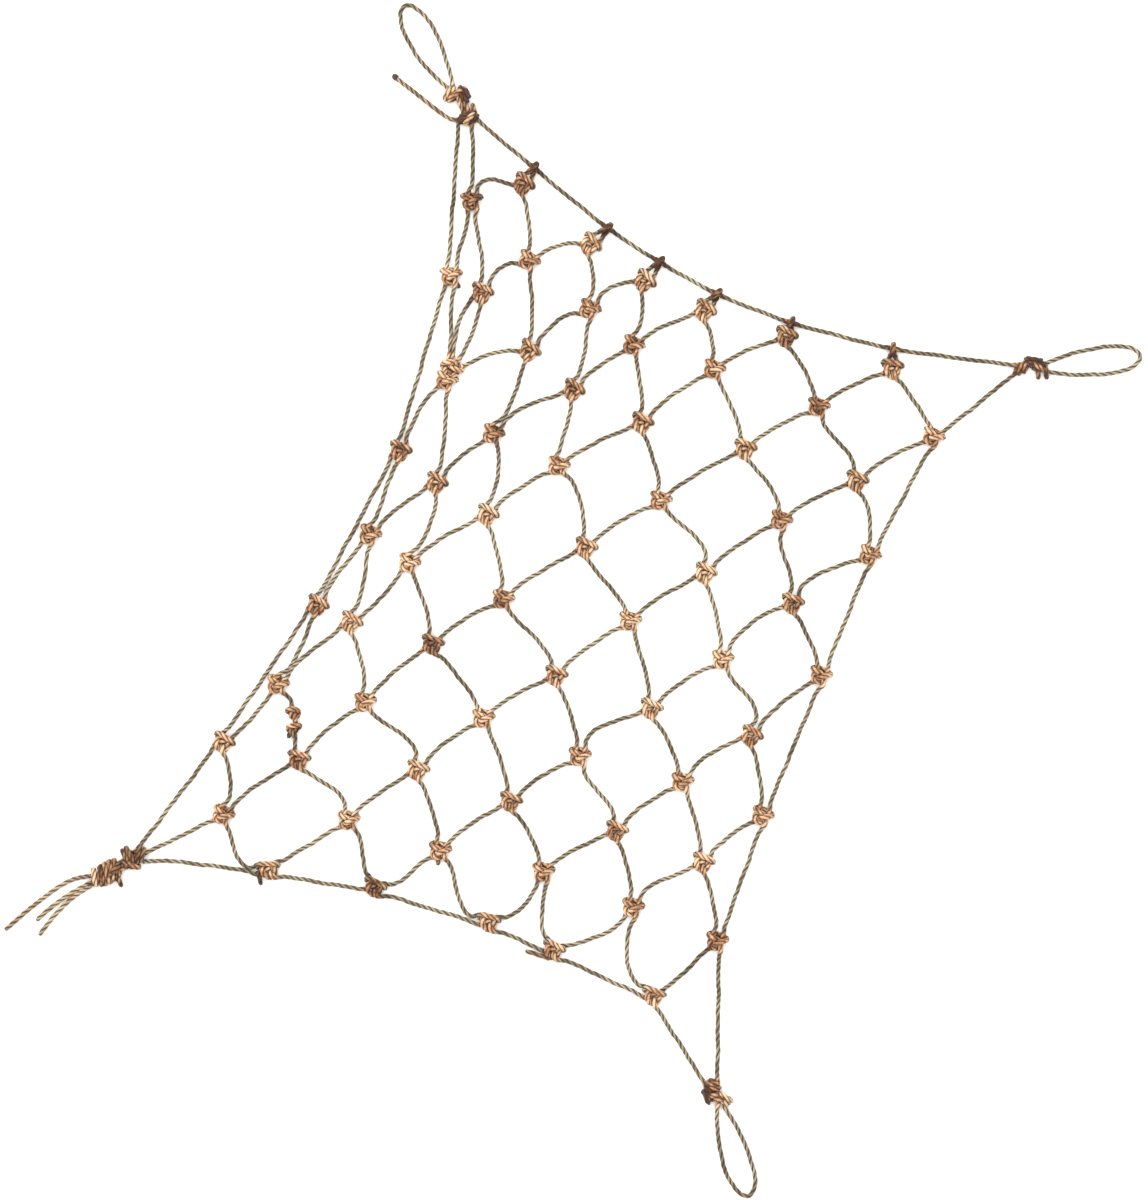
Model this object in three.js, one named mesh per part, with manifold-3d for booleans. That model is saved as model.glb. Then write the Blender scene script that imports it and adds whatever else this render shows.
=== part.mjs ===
// A hand-knotted balcony safety net, laid out flat and pulled to its four corners.
// Diamond meshes of twisted twine hang between four edge ropes; three corners end in a tied
// eye for a hook and the fourth in a wrapped knot with three free ends.
// Millimetres, +X to the right, +Y up the net, +Z off the surface that it lies on.

import * as THREE from 'three';
import { mergeVertices } from 'three/addons/utils/BufferGeometryUtils.js';
import Module from 'manifold-3d';

const wasm = await Module();
wasm.setup();

// Driving dimensions: the two sorts of rope, the room left round a rope that runs through a knot,
// and the lumps of rope turns.
const TWINE = 5;
const EDGE_ROPE = 5.5;
const GAP = 0.3;
const KNOT = { long: 27, wide: 25, thick: 12 };
const BIGHT = { wide: 12, thick: 12, past: 8 };
const NECK = 8.8;
const WHIPPING = { long: 9, across: 8 };
const KNOT_Z = KNOT.thick / 2;

// How finely the ropes are faceted, and how far from a knot a rope is back down on the surface.
const COURSE_SIDES = 6;
const COLUMN_SIDES = 5;
const ROPE_SIDES = 6;
const EYE_STEP = 14;
const BOWED = { little: 7.5, much: 13 };
const HELD_REACH = 32;
const RUN_IN = 0.15;

const COLOURS = {
  twine: 0x8f8168,
  edge: 0x8a7c64,
  corner: 0xa67f59,
};

/** Turns rows of values into objects, under the names of their columns. */
function table(columns, rows) {
  return rows.map((row) => Object.fromEntries(columns.map((name, i) => [name, row[i]])));
}

// The rings of a lump of rope turns: where they lie along it and how far out its ridges reach.
const LUMP = table(
  ['along', 'out'],
  [
    [-1, 0],
    [-0.55, 1],
    [0, 0.74],
    [0.55, 1],
    [1, 0],
  ],
);

// Each course of knots runs from the lower left to the upper right.
const COURSES = table(
  ['course', 'first', 'count', 'from', 'middle', 'to'],
  [
    [-5, 0, 2, [-117, 457], [-88, 466], [-59, 476]],
    [-4, 0, 3, [-106, 351], [-52, 389], [18, 407]],
    [-3, -1, 5, [-200, 170], [-59, 294], [80, 365]],
    [-2, -2, 7, [-295, -7], [-86, 193], [149, 331]],
    [-1, -3, 9, [-403, -164], [-100, 97], [243, 301]],
    [0, -3, 10, [-403, -247], [-30, 31], [365, 264]],
    [1, -3, 10, [-350, -310], [22, -52], [412, 187]],
    [2, -2, 8, [-229, -330], [47, -153], [339, 51]],
    [3, -1, 6, [-98, -370], [86, -238], [283, -87]],
    [4, 0, 4, [-24, -402], [109, -328], [216, -248]],
    [5, 1, 2, [91, -455], [128, -424], [164, -392]],
  ],
);

// How far a knot was tied away from its even place in the course.
const UNEVEN = table(
  ['course', 'column', 'right', 'up'],
  [
    [-3, 0, -17, 13],
    [-3, 1, 7, -9],
    [-3, 2, 7, -3],
    [-2, -1, -6, 8],
    [-2, 1, -7, -3],
    [-2, 2, 9, -6],
    [-1, -2, -9, -4],
    [-1, 0, -10, 5],
    [-1, 3, 11, -4],
    [-1, 4, 7, 9],
    [0, -2, 6, -3],
    [0, 0, -6, 5],
    [0, 1, -9, -2],
    [0, 4, 9, 6],
    [0, 5, 5, 5],
    [1, -2, 10, -2],
    [1, -1, 7, -3],
    [1, 1, -1, -8],
    [1, 4, 1, 8],
    [2, -1, -2, -6],
    [2, 4, -4, 5],
    [3, 0, -9, 7],
    [3, 3, 0, -7],
  ],
);

// Knots outside the courses: one on the left edge rope alone, and the join in a mended strand.
const TIES = table(
  ['name', 'at', 'long', 'wide'],
  [
    ['left_tie', [-141, 371], 24, 20],
    ['mend', [-320, -137], 24, 15],
  ],
);

// How far a strand bows to the right or up of its chord at its first and third quarters.
const EVEN_BOW = { course: { near: 4, far: 3 }, column: { near: 2.5, far: 4 } };
const SLACK = table(
  ['line', 'course', 'column', 'near', 'far'],
  [
    ['course', -5, 0, 18, 8],
    ['course', -4, 0, 8, 10],
    ['course', -4, 1, 6, 8],
    ['course', -3, -1, -4, -7],
    ['course', -3, 0, 9, 10],
    ['course', -3, 1, 6, 9],
    ['course', -3, 2, 9, 9],
    ['course', -2, -2, -2, -2],
    ['course', -2, 1, 9, 6],
    ['course', 1, -3, 0, 0],
    ['course', 2, -2, -8, -1],
    ['course', 2, 1, 14, 6],
    ['course', 2, 3, 9, 9],
    ['course', 2, 4, 12, 6],
    ['course', 3, -1, -11, -9],
    ['course', 3, 2, 7, 6],
    ['course', 4, 0, -6, -10],
    ['course', 4, 1, 9, 3],
    ['course', 5, 1, -3, -1],
    ['column', -4, 0, -12, -3],
    ['column', -3, -1, 0, 0],
    ['column', -2, 0, 8, 5],
    ['column', -2, 1, 9, 5],
    ['column', -2, 2, 2, -1],
    ['column', -1, -3, 5, 8],
    ['column', -1, -2, 10, 2],
    ['column', -1, 2, 11, 7],
    ['column', 0, -3, -7, -18],
    ['column', 0, -2, 1, 11],
    ['column', 0, -1, 1, 14],
    ['column', 0, 1, 0, 8],
    ['column', 0, 2, -3, 4],
    ['column', 0, 3, 3, 15],
    ['column', 0, 4, 2, 8],
    ['column', 0, 5, -2, 8],
    ['column', 1, -2, 5, -3],
    ['column', 1, 4, -3, 4],
    ['column', 1, 5, 7, 6],
    ['column', 2, -1, 0, -15],
    ['column', 2, 1, -3, 7],
    ['column', 2, 3, 3, 16],
    ['column', 3, 0, -1, -9],
    ['column', 4, 1, -10, -18],
  ],
);

// Strands outside the courses and columns, between a knot, a tie or a place in a corner knot.
const ODD_STRANDS = table(
  ['from', 'to', 'near', 'far', 'corner'],
  [
    ['-4,0', '-3,0', 6, 4, false],
    ['-5,0', 'left_tie', 1, 1, false],
    ['left_tie', '-3,0', 2, 2, false],
    ['top_left', '-5,0', 1, 1, true],
    ['bottom_left', '0,-3', 0, 0, true],
  ],
);
const CORNER_STARTS = { top_left: [-119, 548], bottom_left: [-490, -290] };

// The small bights that hang the knots of the top row on their rope: rope less knot.
const HANGERS = table(
  ['course', 'column', 'right', 'up'],
  [
    [-5, 1, 13, 18],
    [-4, 2, 20, 18],
    [-3, 3, 18, 21],
    [-2, 4, 15, 18],
    [-1, 5, 6, 15],
    [0, 6, 1, 22],
  ],
);

// The cut ends of twine that stick out of a knot: from inside the knot to the cut.
const TAILS = table(
  ['name', 'from', 'to'],
  [
    ['mend', [-320, -140], [-328, -158]],
    ['left_tie', [-139, 368], [-131, 359]],
    ['bottom', [-154, -290], [-156, -304]],
    ['lower_bottom', [-27, -411], [-55, -403]],
    ['bottom_left', [-362, -311], [-359, -327]],
  ],
);

// Knots that are larger or smaller than the rest.
const ODD_SIZES = table(
  ['course', 'column', 'scale'],
  [
    [-3, 0, 1.2],
    [2, -2, 1.1],
    [-5, 1, 0.9],
    [-4, 0, 0.95],
  ],
);

// The knots of the corners: a ridged lump each, with its centre, its turn from +X and its size.
const CORNER_KNOTS = table(
  ['corner', 'centre', 'turn', 'long', 'wide', 'thick'],
  [
    ['top_left', [-134, 580], 14, 34, 18, 13],
    ['top_left', [-120, 553], 20, 27, 23, 13],
    ['right', [526, 268], 0, 42, 23, 14],
    ['bottom_right', [163, -571], 10, 30, 22, 13],
    ['bottom_left', [-507, -298], 35, 34, 30, 15],
    ['bottom_left', [-534, -312], 30, 44, 30, 15],
  ],
);

// The edge ropes: where each starts and ends, any place that it is drawn aside to on its way,
// and how far outside the middles of its knots it passes.
const EDGES = [
  { name: 'top', start: [-110, 551], finish: [510, 270], outside: [0.8, 1.8] },
  { name: 'right', start: [516, 262], finish: [167, -562], outside: [3, -1.5] },
  { name: 'bottom', start: [-492, -302], aside: [-450, -301], finish: [157, -562], outside: [-1, -4.5] },
  { name: 'left', start: [-131, 548], finish: [-503, -290], outside: [-3.5, 2] },
];

// The eyes are one smooth bend each, from leg to leg round two control points.
const LOOPS = table(
  ['corner', 'leg', 'swing', 'swingBack', 'legBack'],
  [
    ['top_left', [-145, 588], [-240, 686], [-168, 744], [-138, 588]],
    ['right', [538, 270], [680, 332], [699, 238], [538, 263]],
    ['bottom_right', [165, -580], [172, -728], [254, -718], [172, -580]],
  ],
);

// Free ends of rope: from inside their knot to the cut end.
const FREE_ENDS = table(
  ['corner', 'points'],
  [
    ['top_left', [[-126, 553], [-152, 563], [-182, 584], [-208, 603]]],
    ['bottom_left', [[-545, -315], [-580, -323], [-618, -349], [-653, -379]]],
    ['bottom_left', [[-545, -320], [-576, -336], [-600, -353], [-617, -368]]],
    ['bottom_left', [[-545, -322], [-574, -341], [-595, -361], [-614, -385]]],
  ],
);

// Geometry helpers.

/** Merges a geometry's doubled points and makes it a solid that can be joined and cut. */
function solid(geometry) {
  const bare = geometry.index ? geometry.toNonIndexed() : geometry.clone();
  bare.deleteAttribute('normal');
  bare.deleteAttribute('uv');
  const merged = mergeVertices(bare, 1e-3);
  const corners = [];
  for (let i = 0; i < merged.index.count; i += 3) {
    const [a, b, c] = [0, 1, 2].map((k) => merged.index.getX(i + k));
    if (a !== b && b !== c && c !== a) corners.push(a, b, c);
  }
  return new wasm.Manifold(new wasm.Mesh({
    numProp: 3,
    vertProperties: merged.attributes.position.array,
    triVerts: new Uint32Array(corners),
  }));
}

/** Joins solids into one. */
function joined(solids) {
  return solids.reduce((whole, piece) => whole.add(piece));
}

/** A geometry of a solid's faces. */
function faces(body) {
  const mesh = body.getMesh();
  const points = new Float32Array(mesh.numVert * 3);
  for (let i = 0; i < mesh.numVert; i += 1) {
    points.set(mesh.vertProperties.subarray(i * mesh.numProp, i * mesh.numProp + 3), i * 3);
  }
  const geometry = new THREE.BufferGeometry();
  geometry.setAttribute('position', new THREE.BufferAttribute(points, 3));
  geometry.setIndex(Array.from(mesh.triVerts));
  return geometry.toNonIndexed();
}

/** A polygon with a flat side towards +X, as far round as a circle of the given radius. */
function section(radius, sides, grow = 0) {
  const half = Math.PI / sides;
  const reach = radius * Math.sqrt(half / (Math.sin(half) * Math.cos(half))) + grow / Math.cos(half);
  const shape = new THREE.Shape();
  for (let i = 0; i < sides; i += 1) {
    const angle = half + 2 * half * i;
    const point = [reach * Math.cos(angle), reach * Math.sin(angle)];
    if (i === 0) shape.moveTo(...point);
    else shape.lineTo(...point);
  }
  shape.closePath();
  return shape;
}

/** A route that a rope is laid along, with a ring of the rope at each of its points. */
class Route extends THREE.Curve {
  constructor(points, tangents = []) {
    super();
    this.points = points;
    this.tangents = tangents;
  }

  getPoint(t) {
    const at = t * (this.points.length - 1);
    const i = Math.min(Math.floor(at), this.points.length - 2);
    return this.points[i].clone().lerp(this.points[i + 1], at - i);
  }

  getPointAt(u) {
    return this.getPoint(u);
  }

  getTangentAt(u) {
    const last = this.points.length - 1;
    const i = Math.round(u * last);
    if (this.tangents[i]) return this.tangents[i].clone();
    const [before, after] = [this.points[Math.max(i - 1, 0)], this.points[Math.min(i + 1, last)]];
    return after.clone().sub(before).normalize();
  }

  /** Frames that keep the section's +X side down all the way. */
  computeFrenetFrames(segments) {
    const tangents = this.points.map((_, i) => this.getTangentAt(i / segments));
    const binormals = tangents.map((t) => new THREE.Vector3(-t.y, t.x, 0).normalize());
    const normals = tangents.map((t, i) => binormals[i].clone().cross(t));
    return { tangents, normals, binormals };
  }
}

/** A rope along a route, swollen across and in height at each ring where swell says so. */
function tube(route, diameter, sides, { grow = 0, swell = [] } = {}) {
  const geometry = new THREE.ExtrudeGeometry(section(diameter / 2, sides, grow), {
    extrudePath: route,
    steps: route.points.length - 1,
    bevelEnabled: false,
  });
  if (swell.length) swellRings(geometry, route, swell);
  return solid(geometry);
}

/** Moves a rope's points out from their ring's middle, by that ring's shares. */
function swellRings(geometry, route, swell) {
  const position = geometry.getAttribute('position');
  const point = new THREE.Vector3();
  for (let v = 0; v < position.count; v += 1) {
    point.fromBufferAttribute(position, v);
    const away = route.points.map((middle) => middle.distanceToSquared(point));
    const ring = away.indexOf(Math.min(...away));
    if (!swell[ring]) continue;
    const { across, above, below } = swell[ring];
    const out = point.sub(route.points[ring]);
    out.multiply(new THREE.Vector3(across, across, out.z > 0 ? above : below));
    position.setXYZ(v, ...out.add(route.points[ring]).toArray());
  }
}

/** How far a rope swells at a ring of a lump: its ridges across and above, its underside flat. */
function swellOf(out, size, diameter, sides) {
  if (out === 0) return null;
  const flat = section(diameter / 2, sides).getPoints()[0].x;
  const [across, high] = [size.wide / diameter, size.thick / 2 / flat];
  return { across: across * out, above: high * out, below: high };
}

/** A lump of rope turns by itself, with its ridges across the given turn from +X. */
function ridgedKnot([x, y], turn, size, sides = COURSE_SIDES) {
  const along = new THREE.Vector3(Math.cos(turn), Math.sin(turn), 0);
  const middle = new THREE.Vector3(x, y, size.thick / 2);
  const points = LUMP.map((ring) => middle.clone().addScaledVector(along, (ring.along * size.long) / 2));
  const swell = LUMP.map((ring) => swellOf(ring.out, size, TWINE, sides));
  return tube(new Route(points, points.map(() => along)), TWINE, sides, { swell });
}

/** A route through points in the plane, with its height given along it. */
function laid(points, heights) {
  return new Route(points.map(([x, y], i) => new THREE.Vector3(x, y, heights[i])));
}

/** The same route, a little longer at both ends. */
function lengthened(route, by) {
  const points = route.points.map((point) => point.clone());
  points[0].addScaledVector(route.getTangentAt(0), -by);
  points[points.length - 1].addScaledVector(route.getTangentAt(1), by);
  return new Route(points);
}

// The netting.

const key = (course, column) => `${course},${column}`;

/** Where every knot of the courses lies. */
function placeKnots() {
  const knots = new Map();
  for (const row of COURSES) {
    for (let i = 0; i < row.count; i += 1) {
      const t = i / (row.count - 1);
      const weights = [(1 - t) * (1 - 2 * t), 4 * t * (1 - t), t * (2 * t - 1)];
      const at = [0, 1].map(
        (k) => row.from[k] * weights[0] + row.middle[k] * weights[1] + row.to[k] * weights[2],
      );
      knots.set(key(row.course, row.first + i), at);
    }
  }
  for (const { course, column, right, up } of UNEVEN) {
    const at = knots.get(key(course, column));
    knots.set(key(course, column), [at[0] + right, at[1] + up]);
  }
  return knots;
}

const KNOTS = placeKnots();

/** The bow of the strand that leaves a knot along its course or down its column. */
function bowOf(line, course, column) {
  const slack = SLACK.find((s) => s.line === line && s.course === course && s.column === column);
  return slack ?? EVEN_BOW[line];
}

/** The place of a knot, a tie or the start of a strand in a corner knot. */
function placeOf(name) {
  const tie = TIES.find((row) => row.name === name);
  return KNOTS.get(name) ?? CORNER_STARTS[name] ?? tie.at;
}

/** The strands that aren't part of a course: down the columns and the odd ones. */
function listStrands() {
  const strands = ODD_STRANDS.map((row) => ({ ...row, from: placeOf(row.from), to: placeOf(row.to) }));
  for (const [name, from] of KNOTS) {
    const [course, column] = name.split(',').map(Number);
    const to = KNOTS.get(key(course + 1, column));
    if (to) strands.push({ from, to, ...bowOf('column', course, column) });
  }
  return strands;
}

/** A place on a strand: a cubic bend between its knots, down on the surface at its middle. */
function strandPoint({ from, to, near, far }, t) {
  const chord = new THREE.Vector2(to[0] - from[0], to[1] - from[1]);
  const aside = new THREE.Vector2(-chord.y, chord.x).normalize();
  if (aside.x + aside.y < 0) aside.negate();
  // The control offsets that bring the bend to near and far at its first and third quarters.
  const control = [(8 * near) / 3 - (8 * far) / 9, (8 * far) / 3 - (8 * near) / 9];
  const bow = 3 * t * (1 - t) * ((1 - t) * control[0] + t * control[1]);
  const lying = TWINE / 2 + GAP;
  return new THREE.Vector3(
    from[0] + chord.x * t + aside.x * bow,
    from[1] + chord.y * t + aside.y * bow,
    lying + (KNOT_Z - lying) * (2 * t - 1) ** 2,
  );
}

/** How many steps a strand takes to follow its bow. */
function stepsOf(strand) {
  const bow = Math.abs(strand.near) + Math.abs(strand.far);
  if (bow > BOWED.much) return 4;
  return bow > BOWED.little ? 2 : 1;
}

/** The route of a strand from the middle of one knot to the middle of the next. */
function strandRoute(strand) {
  const steps = stepsOf(strand);
  return new Route(Array.from({ length: steps + 1 }, (_, i) => strandPoint(strand, i / steps)));
}

/** A whole course: its strands in one, swollen into a ridged lump at each knot. */
function courseTube({ course, first, count }) {
  const at = (i) => KNOTS.get(key(course, first + i));
  const strands = Array.from({ length: count - 1 }, (_, i) => (
    { from: at(i), to: at(i + 1), ...bowOf('course', course, first + i) }
  ));
  const points = [];
  const tangents = [];
  const swell = [];
  for (let i = 0; i < count; i += 1) {
    const middle = new THREE.Vector3(...at(i), KNOT_Z);
    const odd = ODD_SIZES.find((o) => o.course === course && o.column === first + i);
    const scale = odd ? odd.scale : 1;
    const size = { long: KNOT.long * scale, wide: KNOT.wide * scale, thick: KNOT.thick };
    const before = i > 0 ? strandPoint(strands[i - 1], 1 - RUN_IN) : null;
    const after = i < count - 1 ? strandPoint(strands[i], RUN_IN) : null;
    const through = (after ?? middle).clone().sub(before ?? middle).setZ(0).normalize();
    for (const ring of LUMP) {
      points.push(middle.clone().addScaledVector(through, (ring.along * size.long) / 2));
      tangents.push(through);
      swell.push(swellOf(ring.out, size, TWINE, COURSE_SIDES));
    }
    if (!after) continue;
    const steps = stepsOf(strands[i]);
    for (let k = 1; k < steps; k += 1) {
      points.push(strandPoint(strands[i], k / steps));
      tangents.push(null);
      swell.push(null);
    }
  }
  return tube(new Route(points, tangents), TWINE, COURSE_SIDES, { swell });
}

/** The netting: strands and ridged knots as one solid, open for the ropes that run through it. */
function netting(ropes) {
  const strands = listStrands().map((strand) => tube(strandRoute(strand), TWINE, COLUMN_SIDES));
  const pieces = [...COURSES.map(courseTube), ...strands];
  for (const { at, long, wide } of TIES) {
    pieces.push(ridgedKnot(at, Math.PI / 2, { long, wide, thick: KNOT.thick }));
  }
  for (const { course, column, right, up } of HANGERS) {
    const [x, y] = KNOTS.get(key(course, column));
    const past = 1 + BIGHT.past / Math.hypot(right, up);
    const route = laid([[x, y], [x + right * past, y + up * past]], [KNOT_Z, KNOT_Z]);
    const swell = [0, 1].map(() => swellOf(1, BIGHT, TWINE, COURSE_SIDES));
    pieces.push(tube(route, TWINE, COURSE_SIDES, { swell }));
  }
  for (const { from, to } of TAILS) {
    pieces.push(tube(laid([from, to], [KNOT_Z, TWINE / 2 + GAP]), TWINE, COLUMN_SIDES));
  }
  return joined(pieces).subtract(ropes);
}

// The edge ropes and the corners.

/** The knots that an edge rope passes, in its own order, as places in the plane. */
function stations(edge) {
  if (edge === 'top') {
    return HANGERS.map(({ course, column, right, up }) => {
      const [x, y] = KNOTS.get(key(course, column));
      return [x + right, y + up];
    });
  }
  const last = (row) => KNOTS.get(key(row.course, row.first + row.count - 1));
  const first = (row) => KNOTS.get(key(row.course, row.first));
  if (edge === 'right') return COURSES.filter((row) => row.course > 0).map(last);
  if (edge === 'bottom') return COURSES.filter((row) => row.course > 0).map(first);
  return [placeOf('left_tie'), ...COURSES.filter((row) => row.course < 0 && row.course > -4).map(first)];
}

/** The route of an edge rope: straight from knot to knot, and down on the surface between them. */
function edgeRoute({ name, start, aside, finish, outside }) {
  const passed = stations(name).map(([x, y]) => [x + outside[0], y + outside[1]]);
  const stops = [start, ...(aside ? [aside] : []), ...passed, finish];
  const lying = EDGE_ROPE / 2 + GAP;
  const points = [];
  for (let i = 0; i < stops.length - 1; i += 1) {
    const [from, to] = [stops[i], stops[i + 1]].map(([x, y]) => new THREE.Vector3(x, y, KNOT_Z));
    points.push(from);
    for (const share of [HELD_REACH / from.distanceTo(to), 1 - HELD_REACH / from.distanceTo(to)]) {
      points.push(from.clone().lerp(to, share).setZ(lying));
    }
    if (i === stops.length - 2) points.push(to);
  }
  return new Route(points);
}

/** The route of a corner's eye. */
function eyeRoute({ leg, swing, swingBack, legBack }) {
  const plan = new THREE.CubicBezierCurve3(
    ...[leg, swing, swingBack, legBack].map(([x, y]) => new THREE.Vector3(x, y, 0)),
  );
  const lying = EDGE_ROPE / 2 + GAP;
  const points = plan.getSpacedPoints(Math.round(plan.getLength() / EYE_STEP));
  points.forEach((point, i) => {
    const fromEnd = Math.min(i, points.length - 1 - i) * EYE_STEP;
    point.z = lying + (KNOT_Z - lying) * Math.max(0, 1 - fromEnd / HELD_REACH) ** 2;
  });
  return new Route(points);
}

/** The route of a free end: out of its knot and down on the surface. */
function freeEndRoute({ points }) {
  const lying = EDGE_ROPE / 2 + GAP;
  return laid(points, points.map((_, i) => (i === 0 ? KNOT_Z : lying)));
}

/** A corner's knots and free ends as one solid, open for the ropes that run into it. */
function cornerKnot(corner, ropes) {
  const lumps = CORNER_KNOTS.filter((row) => row.corner === corner);
  const pieces = lumps.map((row) => ridgedKnot(row.centre, THREE.MathUtils.degToRad(row.turn), row));
  if (lumps.length > 1) {
    const ends = lumps.map((row) => row.centre);
    pieces.push(tube(laid(ends, [KNOT_Z, KNOT_Z]), NECK, ROPE_SIDES));
  }
  for (const row of FREE_ENDS.filter((end) => end.corner === corner)) {
    const route = freeEndRoute(row);
    pieces.push(tube(route, EDGE_ROPE, ROPE_SIDES));
    if (corner === 'top_left') {
      const end = route.points.at(-1).clone().setZ(WHIPPING.across / 2);
      const start = end.clone().addScaledVector(route.getTangentAt(1), -WHIPPING.long);
      pieces.push(tube(new Route([start, end]), WHIPPING.across, ROPE_SIDES));
    }
  }
  return joined(pieces).subtract(ropes);
}

/** A named mesh of a solid. */
function part(name, body, colour) {
  const material = new THREE.MeshStandardMaterial({ color: colour, roughness: 0.9, metalness: 0 });
  const mesh = new THREE.Mesh(faces(body), material);
  mesh.name = name;
  return mesh;
}

/** Puts the whole net together, with the middle of its underside at the origin. */
function build() {
  const net = new THREE.Group();
  const ropes = EDGES.map((edge) => ({ name: `edge_rope_${edge.name}`, route: edgeRoute(edge) }));
  const eyes = LOOPS.map((loop) => ({ name: `eye_${loop.corner}`, route: eyeRoute(loop) }));
  const around = joined([...ropes, ...eyes].map(
    ({ route }) => tube(lengthened(route, GAP), EDGE_ROPE, ROPE_SIDES, { grow: GAP }),
  ));
  const twine = netting(around);
  net.add(part('netting', twine, COLOURS.twine));
  for (const { name, route } of [...ropes, ...eyes]) {
    net.add(part(name, tube(route, EDGE_ROPE, ROPE_SIDES), COLOURS.edge));
  }
  const entering = listStrands().filter((strand) => strand.corner).map(
    (strand) => tube(lengthened(strandRoute(strand), GAP), TWINE, COLUMN_SIDES, { grow: GAP }),
  );
  const hollows = joined([around, ...entering]);
  for (const corner of new Set(CORNER_KNOTS.map((row) => row.corner))) {
    net.add(part(`corner_knot_${corner}`, cornerKnot(corner, hollows), COLOURS.corner));
  }
  const box = new THREE.Box3().setFromObject(net);
  const underside = box.getCenter(new THREE.Vector3()).setZ(box.min.z);
  underside.negate();
  for (const mesh of net.children) mesh.geometry.translate(...underside.toArray());
  return net;
}

export default build();
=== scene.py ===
"""A hand-knotted balcony safety net of twisted rope, laid flat and pulled to its four corners.

Every knot is tied here from bead chains that shorten until their turns touch, and every length
of rope is one sweep of a three-strand section along the line that the chains give. Places are
written in millimetres in the drawing's own frame and turned into metres once, in Plan.
"""

import logging
import math
from collections.abc import Sequence
from dataclasses import dataclass, field
from enum import Enum

import bpy
import numpy as np
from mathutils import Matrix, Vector


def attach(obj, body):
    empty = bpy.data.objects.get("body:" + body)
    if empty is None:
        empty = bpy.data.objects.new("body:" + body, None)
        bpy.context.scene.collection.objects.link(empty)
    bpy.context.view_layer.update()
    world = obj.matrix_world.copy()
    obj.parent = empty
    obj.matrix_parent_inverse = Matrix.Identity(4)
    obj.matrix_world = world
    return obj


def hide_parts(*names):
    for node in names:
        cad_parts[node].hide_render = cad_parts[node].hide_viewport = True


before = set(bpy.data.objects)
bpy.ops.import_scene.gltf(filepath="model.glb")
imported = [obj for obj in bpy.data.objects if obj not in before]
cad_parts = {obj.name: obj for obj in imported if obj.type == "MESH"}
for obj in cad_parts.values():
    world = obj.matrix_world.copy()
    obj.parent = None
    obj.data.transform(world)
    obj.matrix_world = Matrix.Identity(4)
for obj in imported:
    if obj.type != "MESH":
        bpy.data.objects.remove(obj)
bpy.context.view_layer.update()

log = logging.getLogger("net")
MM = 0.001
SEED = 7

Line = np.ndarray
KnotName = tuple[int, int] | str


class Arm(Enum):
    """The places where a rope leaves a knot, seen with the knot's bight upwards."""

    UPPER_LEFT = 0
    UPPER_RIGHT = 1
    LOWER_LEFT = 2
    LOWER_RIGHT = 3
    TURN_IN = 4
    TURN_OUT = 5


class Edge(Enum):
    """The four edge ropes."""

    TOP = "edge_rope_top"
    RIGHT = "edge_rope_right"
    BOTTOM = "edge_rope_bottom"
    LEFT = "edge_rope_left"


class Slot(Enum):
    """The record's material slots."""

    TWINE = "netting_twine"
    EDGE = "edge_rope"
    CORNER = "corner_knot_rope"


NETTING = "netting"
Label = tuple[KnotName, Arm]


# Lines and vectors.


def unit(vector: Sequence[float]) -> np.ndarray:
    """A vector of length one."""
    array = np.asarray(vector, float)
    return array / max(np.linalg.norm(array), 1e-12)


def lengths_along(line: Line) -> np.ndarray:
    """How far along a line each of its points is."""
    return np.concatenate([[0.0], np.cumsum(np.linalg.norm(np.diff(line, axis=0), axis=1))])


def evenly(line: Line, count: int) -> Line:
    """The same line with a number of evenly spaced points.

    Args:
        line: Points in order.
        count: How many points the result has.

    Returns:
        The new points, with the same first and last point.
    """
    far = lengths_along(line)
    at = np.linspace(0.0, far[-1], count)
    return np.stack([np.interp(at, far, line[:, k]) for k in range(line.shape[1])], axis=1)


def rounded(points: Sequence[Sequence[float]], steps: int = 12) -> Line:
    """A smooth line through points.

    Args:
        points: The points that it passes.
        steps: How many pieces each span is divided into.

    Returns:
        The points of a Catmull-Rom curve.
    """
    p = np.asarray(points, float)
    p = np.vstack([2 * p[0] - p[1], p, 2 * p[-1] - p[-2]])
    t = np.linspace(0, 1, steps, endpoint=False)[:, None]
    spans = []
    for a, b, c, d in zip(p[:-3], p[1:-2], p[2:-1], p[3:]):
        spans.append(0.5 * (2 * b + (c - a) * t + (2 * a - 5 * b + 4 * c - d) * t**2 + (3 * b - a - 3 * c + d) * t**3))
    return np.vstack([*spans, p[-2][None]])


def eased(x: np.ndarray) -> np.ndarray:
    """A smooth step from 0 to 1 as x goes from 0 to 1."""
    x = np.clip(x, 0.0, 1.0)
    return x * x * (3 - 2 * x)


@dataclass
class Link:
    """A length of rope between two places where it may be joined to the next.

    Attributes:
        line: Its points in millimetres.
        ends: What each end is joined to, or None for a free or hidden end.
        rope: The piece that it belongs to.
    """

    line: Line
    ends: tuple[Label | None, Label | None]
    rope: str

    def turned(self) -> "Link":
        """The same link from its other end."""
        return Link(self.line[::-1], (self.ends[1], self.ends[0]), self.rope)


@dataclass
class Run:
    """One length of rope as it is swept: its line in metres and its looks along it."""

    line: Line
    radius: float
    warmth: np.ndarray
    tone: np.ndarray
    cut: tuple[bool, bool] = (False, False)
    number: int = 0


# The plan of the net.


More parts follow.
